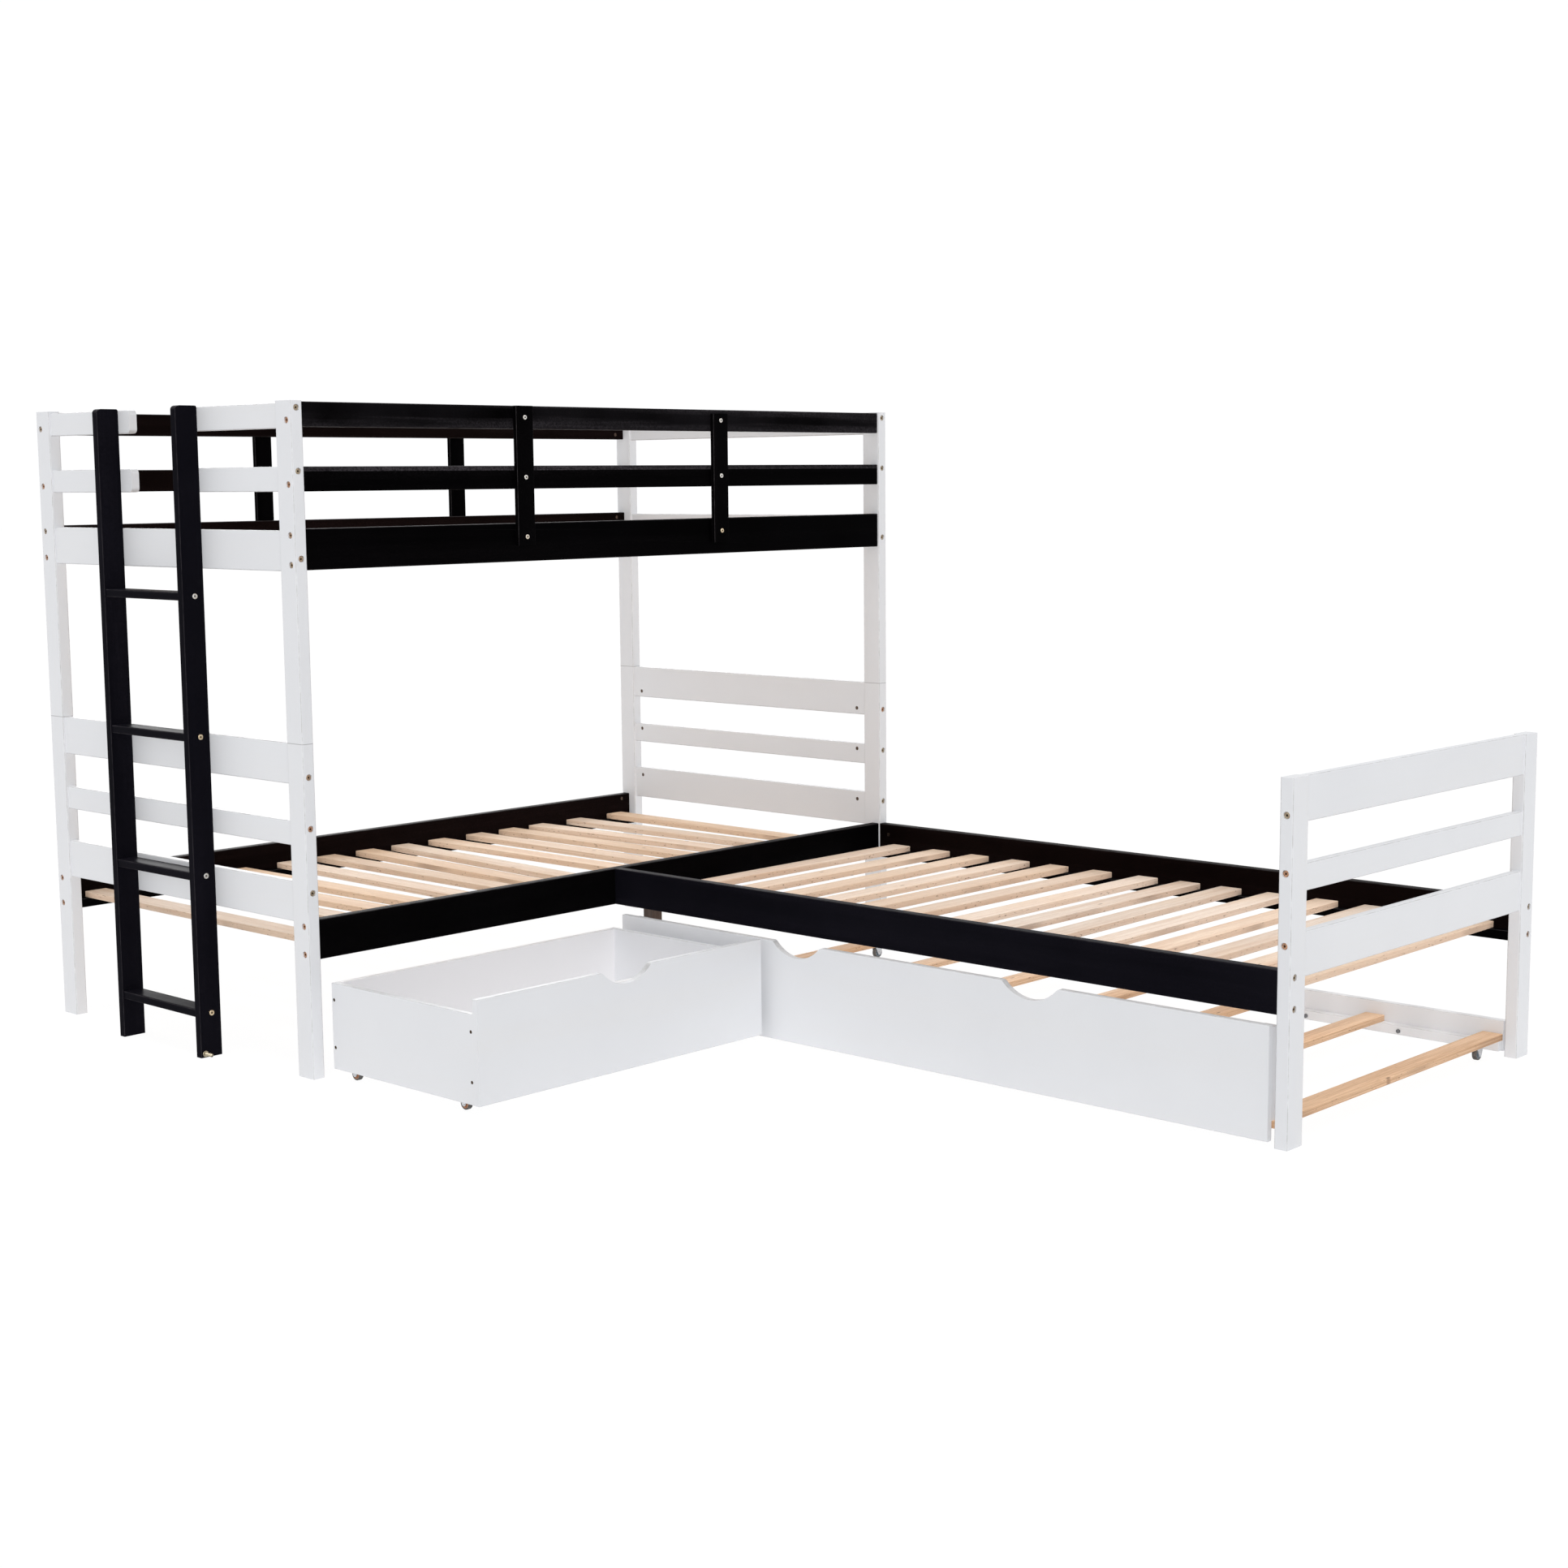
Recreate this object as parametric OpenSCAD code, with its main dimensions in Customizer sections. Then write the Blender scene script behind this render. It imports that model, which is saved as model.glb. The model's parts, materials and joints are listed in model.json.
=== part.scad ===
// L-shaped bunk bed: a bunk over a lower bed, a third bed at right angles to it,
// a ladder at the end of the bunk, a drawer on casters and a trundle on casters.
// Millimetres. +X runs along the bunk from the ladder end, +Y to its back, +Z up.
// The third bed runs from the right half of the bunk's front towards -Y.
// Origin: middle of the footprint, on the floor.

/* [Bunk] */
// Outer length of the bunk, post to post
bunk_l = 1964; // [1860:1:2200]
// Outer width of the bunk
bunk_w = 1047; // [900:1:1300]
// Height of the lower posts
lower_h = 749; // [700:1:900]
// Height of the upper posts, from the seam
upper_h = 743; // [700:1:900]
// Thickness of a post, along its bed's length
post_t = 30; // [26:1:45]
// Width of a post, in the plane of its end panel
post_w = 57; // [48:1:80]
// Rounding of the long edges of the posts
post_r = 3; // [1:0.5:5]

/* [Third bed] */
// Outer width of the third bed
ext_w = 1042; // [900:1:1150]
// Length of the third bed, from the bunk's front to the footboard
ext_l = 1913; // [1860:1:2100]
// Height of the footboard posts
foot_h = 737; // [700:1:780]

/* [Rails] */
// Distance of each rail behind the outer face of its posts
set_back = 5; // [2:0.5:6]
// Thickness of the rails of the end panels
end_t = 20; // [16:1:22]
// Thickness of the bed rails and guard rails
side_t = 25; // [18:1:30]
// Rounding of the long edges of the rails
rail_r = 2.5; // [1:0.5:4]
// Height of the wide rails of the end panels
wide_h = 91; // [70:1:110]
// Height of the narrow rails of the end panels
narrow_h = 55; // [40:1:70]
// Underside of the lowest end rail
low_end_z = 350; // [330:1:380]
// Underside of the middle end rail
mid_end_z = 521; // [500:1:550]
// Height of the bed rails
bed_h = 90; // [80:1:110]
// Underside of the lower bed rails
bed_z = 267; // [260:1:280]
// Underside of the upper bed rails above the seam of the posts
upper_bed_up = 378; // [360:1:390]
// Height of the wide rail at each end of the upper bed
upper_end_h = 88; // [70:1:100]
// Height of the guard rails
guard_h = 54; // [40:1:60]
// Underside of the middle guard rails above the seam of the posts
guard_mid_up = 548; // [520:1:570]
// How far the tops of the guard rails stay under the post tops
guard_drop = 2; // [0:0.5:10]
// How far the top rails of the ends stay under the guard rails
stub_drop = 3; // [0:0.5:8]
// Width of the opening for the ladder between the stub rails
entry_w = 235; // [200:1:400]
// Rounding of the free ends of the stub rails
stub_r = 11; // [4:1:20]

/* [Guard battens] */
// Width of a batten
batten_w = 52; // [40:1:70]
// Thickness of a batten
batten_t = 12; // [9:1:18]
// Length of a batten
batten_l = 325; // [320:1:340]
// Distance from the inside of the posts to the middle of a batten
batten_in = 624; // [400:1:800]
// How much lower the second batten of a pair sits
batten_step = 10; // [0:1:12]

/* [Slats] */
// Number of slats in each bed
slat_n = 14; // [10:1:18]
// Width of a slat
slat_w = 60; // [45:1:75]
// Thickness of a slat
slat_t = 15; // [12:1:18]
// Free length at each end of a row of slats
slat_margin = 23; // [12:1:60]
// Free length at each end of the third bed's row of slats
ext_margin = 46; // [12:1:80]
// Side of the square ledgers that carry the slats
ledger = 22; // [18:1:26]
// How unevenly the loose slats of the two lower beds lie
slat_stray = 1; // [0:0.1:1]

/* [Support leg] */
// Side of the square support leg
leg_s = 34; // [28:1:45]
// Distance of the support leg from the ladder end
leg_x = 1078; // [1000:1:1150]

/* [Ladder] */
// Width of a ladder stile, square to the bunk's end
stile_w = 57; // [45:1:80]
// Thickness of a ladder stile
stile_t = 20; // [18:1:26]
// Width over both stiles
ladder_w = 345; // [320:1:400]
// Middle of the ladder, from the bunk's front
ladder_y = 534; // [500:1:560]
// Rounding of the upper outer corner of a stile
stile_r = 12; // [4:1:25]
// Number of rungs
rung_n = 4; // [3:1:5]
// Depth of a rung
rung_d = 51; // [40:1:70]
// Thickness of a rung
rung_t = 19; // [15:1:25]
// Middle of the lowest rung above the floor
rung_z = 102; // [80:1:150]
// Distance from rung to rung
rung_pitch = 320.5; // [250:0.5:325]

/* [Drawer] */
// Gap between the drawer and the third bed's near side
drawer_gap = 26; // [10:1:150]
// Depth of the drawer, front included
drawer_d = 500; // [400:1:600]
// Height of the drawer's front
drawer_front_h = 228; // [190:1:235]
// Height of the drawer's box
drawer_box_h = 195; // [150:1:200]
// Thickness of the drawer's boards
drawer_t = 15; // [12:1:18]
// Thickness of the drawer's bottom
drawer_bottom_t = 8; // [5:1:12]
// Depth of the grooves that hold the bottom
groove_d = 5; // [3:1:7]
// Gap between the drawer's left end and the ladder-end face of the posts
drawer_x = 40; // [34:1:90]
// How far the drawer's front stands out from the bunk's front
drawer_out = 522; // [300:1:560]

/* [Trundle] */
// Length of the trundle, along the third bed
trundle_l = 1852; // [1600:1:1856]
// Gap between the trundle and the bunk's front
trundle_gap = 24; // [20:1:40]
// Height of the trundle's front panel
panel_h = 235; // [180:1:240]
// Thickness of the trundle's front panel
panel_t = 15; // [12:1:20]
// Distance of the trundle's rear rail behind the third bed's far face
rear_gap = 28; // [24:1:120]
// Thickness of the trundle's rear rail
rear_t = 20; // [15:1:22]
// Height of the trundle's rear rail
rear_h = 70; // [60:1:110]
// Number of trundle slats
trundle_n = 7; // [5:1:10]
// Width of a trundle slat
trundle_slat_w = 50; // [45:1:70]
// Gap from the end of the trundle to its first slat
trundle_in = 19; // [10:1:60]
// Gap from the last trundle slat to the footboard end
trundle_end = 1; // [1:1:30]
// How much shorter the panel is than the trundle's rear rail
panel_short = 8; // [0:1:20]
// Height of the cleats behind the trundle's panel
cleat_h = 190; // [100:1:192]
// Width of the cleats
cleat_w = 30; // [20:1:36]

/* [Hand scoops] */
// Width of a hand scoop in the drawer and trundle fronts, over its shoulders
scoop_w = 162; // [110:1:200]
// Depth of a hand scoop
scoop_h = 34; // [24:1:45]
// Rounding of a hand scoop's shoulders
scoop_r = 15; // [4:1:20]
// Distance of each trundle scoop from the middle of the panel
scoop_off = 337; // [200:1:500]

/* [Casters] */
// Gap between the floor and the drawer's boards
drawer_lift = 22; // [14:1:24]
// Gap between the floor and the trundle's boards
trundle_lift = 10; // [6:1:14]
// Diameter of a caster wheel
wheel_d = 29; // [24:1:30]
// Width of a caster wheel
wheel_w = 12; // [8:1:16]
// Diameter of a caster axle
axle_d = 5; // [4:0.5:6]
// Thickness of the caster plates
plate_t = 2; // [1.5:0.5:3]
// Distance of the drawer's casters from its ends
drawer_caster_x = 25; // [25:1:80]
// Distance of the drawer's casters from its back and front
drawer_caster_y = 52; // [34:1:90]
// Distance of the trundle's front casters from its panel
caster_front = 80; // [45:1:150]
// Distance of the trundle's rear casters from its rear rail
caster_rear = 75; // [45:1:150]

/* [Fasteners] */
// Diameter of the frame bolts
bolt_d = 6; // [5:0.5:8]
// Diameter of their heads
head_d = 13; // [11:0.5:14]
// Height of their heads
head_h = 3; // [2:0.5:4]
// Depth of the counterbores
bore_depth = 5; // [4:0.5:7]
// Diameter of the barrel nuts
nut_d = 10; // [9:0.5:12]
// Distance of a barrel nut from the end of its rail
nut_in = 31; // [25:1:45]
// Diameter of the dowel in each post seam
dowel_d = 10; // [8:1:14]
// Length of the dowel in each post seam
dowel_l = 70; // [40:1:80]

/* [Hidden] */

WHITE = [0.93, 0.93, 0.94];
BLACK = [0.07, 0.07, 0.075];
PINE = [0.87, 0.74, 0.55];
BRONZE = [0.55, 0.36, 0.24];
STEEL = [0.75, 0.75, 0.76];
TREAD = [0.35, 0.34, 0.33];
DARK_WOOD = [0.16, 0.12, 0.1];

eps = 0.01;
screw_d = 5;
screw_head = 7.4;
screw_l = 46;
screw_sink = 2;
hole_gap = 0.3;                         // radial room round a bolt or nut
axle_gap = 0.08;                        // running clearance of a wheel on its axle
slide_gap = 1;                          // room at each end of a ledger and a trundle slat
slat_room = 3;                          // room at each end of a loose slat
seat = post_t + nut_in;                 // nut distance along a side rail's bolt
end_seat = post_w + nut_in;             // nut distance along an end rail's bolt
rail_c = set_back + side_t / 2;         // middle of a side rail, from the outer face
end_c = post_t / 2;                     // middle of an end rail, from the outer face
end_in = end_c + end_t / 2;             // inner face of an end rail
side_in = set_back + side_t;            // inner face of a side rail
total_h = lower_h + upper_h;
upper_bed_z = lower_h + upper_bed_up;
guard_mid_z = lower_h + guard_mid_up;
ext_x = bunk_l - ext_w;                 // outer face of the third bed's near side
foot_low = lower_h - foot_h;            // the footboard hangs this much lower
guard_top_z = total_h - guard_drop - guard_h;
stub_top_z = guard_top_z - stub_drop;           // the end panel's top rail sits a little lower
upper_end_z = upper_bed_z - guard_drop;
slat_z = bed_z + ledger;
upper_slat_z = upper_bed_z + ledger;

// Bolt heights. Bolts from the two faces of a post pass over and under each other.
low_end_bolts = [low_end_z + wide_h * 0.75, mid_end_z + narrow_h * 0.73, lower_h - wide_h * 0.81];
up_end_bolts = [upper_end_z + upper_end_h * 0.31, guard_mid_z + guard_h * 0.81, stub_top_z + guard_h * 0.81];
bed_bolts = [bed_z + bed_h * 0.15, bed_z + bed_h * 0.85];
up_side_bolts = [upper_bed_z + bed_h * 0.133, upper_bed_z + bed_h * 0.844,
    guard_mid_z + guard_h * 0.28, guard_top_z + guard_h * 0.26];
far_bolts = [bed_z + bed_h * 0.32, bed_z + bed_h * 0.68];
near_bolts = [bed_z + bed_h * 0.52, bed_z + bed_h * 0.856];

// Third bed
ext_y0 = set_back;                      // its near rail starts at the bunk's front rail
ext_y1 = -ext_l + post_t;               // its rails end at the footboard posts

// Ladder
stile_x = set_back - stile_w;
stile_y = [ladder_y - ladder_w / 2, ladder_y + ladder_w / 2 - stile_t];
ladder_h = total_h - guard_drop;
ladder_ties = [low_end_z + wide_h / 2, lower_h - wide_h / 2,
    upper_end_z + upper_end_h / 2, stub_top_z + guard_h / 2];
rung_x = stile_x + 3;

// Drawer
drawer_l = ext_x - drawer_x - drawer_gap;
drawer_y = -drawer_out;
drawer_back = drawer_y + drawer_d;
drawer_z = drawer_lift;
bottom_z = wheel_d + 3 + plate_t;      // underside of the drawer's bottom
drawer_bolts = [bottom_z + drawer_bottom_t + 29, drawer_z + drawer_box_h - 38];
drawer_wheel_x = [drawer_x + drawer_caster_x, drawer_x + drawer_l - drawer_caster_x];
drawer_wheel_y = [drawer_y + drawer_t + drawer_caster_y + 5, drawer_back - drawer_caster_y];

// Trundle
trundle_y = -trundle_gap - trundle_l;   // its end beside the footboard
panel_z = trundle_lift;
t_slat_z = wheel_d + 4 + plate_t;
t_ledger_z = t_slat_z - ledger;
rear_x = bunk_l - rear_gap - rear_t;    // inner face of the rear rail
t_slat_y0 = trundle_y + trundle_end;
t_slat_pitch = (trundle_l - trundle_in - trundle_end - trundle_slat_w) / (trundle_n - 1);
t_bolt_pitch = 245;
t_bolt_first = 250;
t_bolt_end = 40;
caster_rows = [0, trundle_n - 1];
cleat_t = 20;
ledger_in = 25;                         // the ledger behind the panel stops short of its far end
trundle_wheel_x = [ext_x + panel_t + caster_front, rear_x - caster_rear];

// The finished bed's box, to put the origin in its middle
box_x = [stile_x, bunk_l];
box_y = [-ext_l, bunk_w - set_back + batten_t];

module place() {
    translate([-(box_x[0] + box_x[1]) / 2, -(box_y[0] + box_y[1]) / 2, 0]) children();
}

// ---------- boards ----------

// Outline of a rectangle with rounded corners, its lower left corner at the origin
function rounded(w, h, r, n = 3) = let (q = min(r, w / 2 - 0.5, h / 2 - 0.5)) [
    for (c = [[w - q, h - q, 0], [q, h - q, 90], [q, q, 180], [w - q, q, 270]], k = [0:n])
        [c[0] + q * cos(c[2] + 90 * k / n), c[1] + q * sin(c[2] + 90 * k / n)]];

// Board along X from the origin: thickness t along Y, height h
module board_x(l, t, h, r = rail_r) {
    rotate([90, 0, 90]) linear_extrude(l) polygon(rounded(t, h, r));
}

// Board along Y from the origin: thickness t along X, height h
module board_y(l, t, h, r = rail_r) {
    translate([0, l, 0]) rotate([90, 0, 0]) linear_extrude(l) polygon(rounded(t, h, r));
}

// Upright board from the origin
module board_z(sx, sy, h, r = rail_r) {
    linear_extrude(h) polygon(rounded(sx, sy, r));
}

module flip_x(on) { if (on) mirror([1, 0, 0]) children(); else children(); }
module flip_y(on) { if (on) mirror([0, 1, 0]) children(); else children(); }

// A bunk corner: children are drawn for the front left one, with its outer faces
// at x = 0 and y = 0
module corner(right, back) {
    translate([right ? bunk_l : 0, back ? bunk_w : 0, 0])
        flip_x(right) flip_y(back) children();
}

// A footboard corner: the same corner turned, its end panel along X
module foot(far) {
    translate([far ? bunk_l : ext_x, -ext_l, 0])
        flip_x(far) mirror([1, -1, 0]) children();
}

// ---------- bolts and barrel nuts ----------

// Along +Z from the face that the head is sunk in, at distance d the barrel nut
module bolt(d, sink = bore_depth) {
    difference() {
        union() {
            translate([0, 0, sink - head_h]) cylinder(d = head_d, h = head_h, $fn = 24);
            translate([0, 0, sink - eps]) cylinder(d = bolt_d, h = d + nut_d / 2 - sink, $fn = 20);
        }
        translate([0, 0, sink - head_h - eps]) cylinder(d = bolt_d * 0.8, h = head_h * 0.7, $fn = 6);
    }
}

module bolt_hole(d, sink = bore_depth) {
    translate([0, 0, -1]) cylinder(d = head_d + 2, h = sink + 1, $fn = 28);
    translate([0, 0, sink - eps])
        cylinder(d = bolt_d + 2 * hole_gap, h = d + nut_d / 2 + 2 - sink, $fn = 20);
}

// Barrel nut along +Z, its mouth at the origin, with the bolt's thread across it
module nut(l, thread) {
    difference() {
        cylinder(d = nut_d, h = l, $fn = 24);
        translate([0, 0, thread]) rotate([0, 90, 0])
            cylinder(d = bolt_d + 0.1, h = nut_d + 2, center = true, $fn = 20);
        translate([-nut_d / 2, -0.7, -eps]) cube([nut_d, 1.4, 1.2]);
    }
}

module nut_hole(l) {
    translate([0, 0, -eps]) cylinder(d = nut_d + 2 * hole_gap, h = l + eps, $fn = 24);
}

// Bolts through a post into its end rails (along Y) and side rails (along X)
module end_bolts(zs) {
    for (z = zs) translate([end_c, 0, z]) rotate([-90, 0, 0]) bolt(end_seat);
}
module end_holes(zs) {
    for (z = zs) translate([end_c, 0, z]) rotate([-90, 0, 0]) bolt_hole(end_seat);
}
module side_bolts(zs) {
    for (z = zs) translate([0, rail_c, z]) rotate([0, 90, 0]) bolt(seat);
}
module side_holes(zs) {
    for (z = zs) translate([0, rail_c, z]) rotate([0, 90, 0]) bolt_hole(seat);
}

end_nut_l = end_t - 4;
side_nut_l = side_t - 5;
module end_nuts(zs) {
    for (z = zs) translate([end_in, end_seat, z]) rotate([0, -90, 0]) rotate([0, 0, 90])
        translate([0, 0, 0.5]) nut(end_nut_l - 1, end_in - end_c - 0.5);
}
module end_nut_holes(zs) {
    for (z = zs) translate([end_in, end_seat, z]) rotate([0, -90, 0]) nut_hole(end_nut_l);
}
module side_nuts(zs) {
    for (z = zs) translate([seat, side_in, z]) rotate([90, 0, 0])
        translate([0, 0, 0.5]) nut(side_nut_l - 1, side_in - rail_c - 0.5);
}
module side_nut_holes(zs) {
    for (z = zs) translate([seat, side_in, z]) rotate([90, 0, 0]) nut_hole(side_nut_l);
}

// ---------- posts ----------

module post(h, ends, sides, far = false) {
    difference() {
        board_z(post_t, post_w, h, post_r);
        end_holes(ends);
        side_holes(sides);
        if (far) far_rail_bolts(true);
    }
}

module post_socket(z) {
    translate([post_t / 2, post_w / 2, z - dowel_l / 2 - 1])
        cylinder(d = dowel_d + 0.2, h = dowel_l + 2, $fn = 32);
}

module lower_post(right, back) {
    color(WHITE) place() corner(right, back) difference() {
        post(lower_h, low_end_bolts, bed_bolts, right && !back);
        post_socket(lower_h);
    }
}

module upper_post(right, back) {
    color(WHITE) place() corner(right, back) difference() {
        translate([0, 0, lower_h]) board_z(post_t, post_w, upper_h, post_r);
        end_holes(up_end_bolts);
        side_holes(up_side_bolts);
        post_socket(lower_h);
    }
}

module lower_post_front_left() { lower_post(false, false); }
module lower_post_back_left() { lower_post(false, true); }
module lower_post_front_right() { lower_post(true, false); }
module lower_post_back_right() { lower_post(true, true); }
module upper_post_front_left() { upper_post(false, false); }
module upper_post_back_left() { upper_post(false, true); }
module upper_post_front_right() { upper_post(true, false); }
module upper_post_back_right() { upper_post(true, true); }

module post_dowels() {
    color(STEEL) place() for (r = [false, true], b = [false, true]) corner(r, b)
        translate([post_t / 2, post_w / 2, lower_h - dowel_l / 2])
            cylinder(d = dowel_d, h = dowel_l, $fn = 32);
}

module footboard_posts() {
    color(WHITE) place() for (far = [false, true]) foot(far) difference() {
        board_z(post_t, post_w, foot_h, post_r);
        end_holes([for (z = low_end_bolts) z - foot_low]);
        side_holes(bed_bolts);
    }
}

// ---------- end panels ----------

// Rail of a bunk end, from post to post, at height z
module end_rail(right, z, h, bolt_z, ladder = -1) {
    color(WHITE) place() difference() {
        corner(right, false) translate([end_c - end_t / 2, post_w, z])
            board_y(bunk_w - 2 * post_w, end_t, h);
        for (b = [false, true]) corner(right, b) {
            end_holes([bolt_z]);
            end_nut_holes([bolt_z]);
        }
        if (ladder > 0) ladder_tie_holes(ladder);
    }
}

module lower_left_wide_rails() {
    end_rail(false, low_end_z, wide_h, low_end_bolts[0], ladder_ties[0]);
    end_rail(false, lower_h - wide_h, wide_h, low_end_bolts[2], ladder_ties[1]);
}
module lower_left_mid_rail() { end_rail(false, mid_end_z, narrow_h, low_end_bolts[1]); }
module lower_right_wide_rails() {
    end_rail(true, low_end_z, wide_h, low_end_bolts[0]);
    end_rail(true, lower_h - wide_h, wide_h, low_end_bolts[2]);
}
module lower_right_mid_rail() { end_rail(true, mid_end_z, narrow_h, low_end_bolts[1]); }
module upper_left_end_rail() {
    end_rail(false, upper_end_z, upper_end_h, up_end_bolts[0], ladder_ties[2]);
}
module upper_right_end_rail() { end_rail(true, upper_end_z, upper_end_h, up_end_bolts[0]); }
module upper_right_guard_rails() {
    end_rail(true, guard_mid_z, guard_h, up_end_bolts[1]);
    end_rail(true, stub_top_z, guard_h, up_end_bolts[2]);
}

// Short rail beside the ladder opening, its free end rounded in side view
module stub(back, z, bolt_z, ladder = -1) {
    l = (bunk_w - entry_w) / 2 - post_w;
    difference() {
        corner(false, back) difference() {
            translate([end_c - end_t / 2, post_w, z]) intersection() {
                board_y(l, end_t, guard_h);
                translate([-1, 0, 0]) rotate([90, 0, 90]) linear_extrude(end_t + 2)
                    polygon(concat([[0, 0]],
                        [for (a = [-90:18:0]) [l - stub_r + stub_r * cos(a), stub_r + stub_r * sin(a)]],
                        [for (a = [0:18:90])
                            [l - stub_r + stub_r * cos(a), guard_h - stub_r + stub_r * sin(a)]],
                        [[0, guard_h]]));
            }
            end_holes([bolt_z]);
            end_nut_holes([bolt_z]);
        }
        if (ladder > 0) ladder_tie_holes(ladder);
    }
}

module entry_stub_rails() {
    color(WHITE) place() for (b = [false, true]) {
        stub(b, guard_mid_z, up_end_bolts[1]);
        stub(b, stub_top_z, up_end_bolts[2], ladder_ties[3]);
    }
}

// Rail of the footboard, from post to post
module foot_rail(z, h, bolt_z) {
    color(WHITE) place() difference() {
        translate([ext_x + post_w, -ext_l + end_c - end_t / 2, z - foot_low])
            board_x(ext_w - 2 * post_w, end_t, h);
        for (far = [false, true]) foot(far) {
            end_holes([bolt_z - foot_low]);
            end_nut_holes([bolt_z - foot_low]);
        }
    }
}

module footboard_wide_rails() {
    foot_rail(low_end_z, wide_h, low_end_bolts[0]);
    foot_rail(lower_h - wide_h, wide_h, low_end_bolts[2]);
}
module footboard_mid_rail() { foot_rail(mid_end_z, narrow_h, low_end_bolts[1]); }

// ---------- long rails and guards ----------

module side_rail(back, z, h, bolts) {
    difference() {
        corner(false, back) translate([post_t, set_back, z])
            board_x(bunk_l - 2 * post_t, side_t, h);
        for (r = [false, true]) corner(r, back) {
            side_holes(bolts);
            side_nut_holes(bolts);
        }
    }
}

module upper_bed_rail(back) {
    color(BLACK) place() difference() {
        side_rail(back, upper_bed_z, bed_h, [up_side_bolts[0], up_side_bolts[1]]);
        batten_holes(back, [2]);
    }
}
module upper_front_bed_rail() { upper_bed_rail(false); }
module upper_back_bed_rail() { upper_bed_rail(true); }
module lower_back_bed_rail() { color(BLACK) place() side_rail(true, bed_z, bed_h, bed_bolts); }
module lower_front_bed_rail() {
    color(BLACK) place() difference() {
        side_rail(false, bed_z, bed_h, bed_bolts);
        near_rail_bolts(true);
        leg_bolt(true);
    }
}

module guard_rails(back) {
    color(BLACK) place() for (k = [0, 1]) difference() {
        side_rail(back, [guard_top_z, guard_mid_z][k], guard_h, [up_side_bolts[3 - k]]);
        batten_holes(back, [k]);
    }
}
module front_guard_rails() { guard_rails(false); }
module back_guard_rails() { guard_rails(true); }

batten_x = [post_t + batten_in, bunk_l - post_t - batten_in];
batten_bolts = [guard_top_z + guard_h / 2, guard_mid_z + guard_h / 2, upper_bed_z + bed_h * 0.644];
module battens(back) {
    color(BLACK) place() difference() {
        for (k = [0, 1]) corner(false, back)
            translate([batten_x[k] - batten_w / 2, set_back - batten_t,
                total_h - guard_drop - batten_l - k * batten_step])
                board_z(batten_w, batten_t, batten_l, 1.5);
        batten_holes(back, [0, 1, 2]);
    }
}
module front_guard_battens() { battens(false); }
module back_guard_battens() { battens(true); }

module batten_holes(back, rows) {
    for (k = rows, x = batten_x) corner(false, back)
        translate([x, set_back - batten_t - 1, batten_bolts[k]]) rotate([-90, 0, 0])
            cylinder(d = bolt_d + 2 * hole_gap, h = batten_t + side_t - 3, $fn = 20);
}

// Third bed
module extension_near_rail() {
    color(BLACK) place() difference() {
        translate([ext_x + set_back, ext_y1, bed_z]) board_y(ext_y0 - ext_y1, side_t, bed_h);
        foot(false) { side_holes(bed_bolts); side_nut_holes(bed_bolts); }
        near_rail_bolts(true);
        near_rail_nuts(true);
    }
}
module extension_far_rail() {
    color(BLACK) place() difference() {
        translate([bunk_l - side_in, ext_y1, bed_z]) board_y(-ext_y1, side_t, bed_h);
        foot(true) { side_holes(bed_bolts); side_nut_holes(bed_bolts); }
        corner(true, false) { far_rail_bolts(true); far_rail_nuts(true); }
    }
}

// Bolts from the inside of the bunk's front rail into the end of the near rail
module near_rail_bolts(hole) {
    for (z = near_bolts) translate([ext_x + rail_c, side_in, z]) rotate([90, 0, 0])
        if (hole) bolt_hole(side_t + nut_in); else bolt(side_t + nut_in);
}
module near_rail_nuts(hole) {
    for (z = near_bolts) translate([ext_x + side_in, ext_y0 - nut_in, z]) rotate([0, -90, 0])
        rotate([0, 0, 90])
        if (hole) nut_hole(side_nut_l);
        else translate([0, 0, 0.5]) nut(side_nut_l - 1, side_in - rail_c - 0.5);
}

// Bolts from the back of the front right post into the end of the far rail
module far_rail_bolts(hole) {
    for (z = far_bolts) translate([rail_c, post_w, z]) rotate([90, 0, 0])
        if (hole) bolt_hole(post_w + nut_in); else bolt(post_w + nut_in);
}
module far_rail_nuts(hole) {
    for (z = far_bolts) translate([side_in, -nut_in, z]) rotate([0, -90, 0]) rotate([0, 0, 90])
        if (hole) nut_hole(side_nut_l);
        else translate([0, 0, 0.5]) nut(side_nut_l - 1, side_in - rail_c - 0.5);
}

// ---------- ledgers, slats and support leg ----------

module bunk_ledger(back, z, x0, x1) {
    corner(false, back) translate([x0, side_in, z]) board_x(x1 - x0, ledger, ledger, 1.5);
}

module bed_ledgers() {
    a = post_t + slide_gap;
    b = bunk_l - post_t - slide_gap;
    color(BLACK) place() {
        for (back = [false, true]) bunk_ledger(back, upper_bed_z, a, b);
        bunk_ledger(true, bed_z, a, b);
        bunk_ledger(false, bed_z, a, leg_x);
        bunk_ledger(false, bed_z, leg_x + leg_s, b);
        for (x = [ext_x + side_in, bunk_l - side_in - ledger])
            translate([x, ext_y1 + slide_gap, bed_z])
                board_y(-ext_y1 - 2 * slide_gap, ledger, ledger, 1.5);
    }
}

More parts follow.
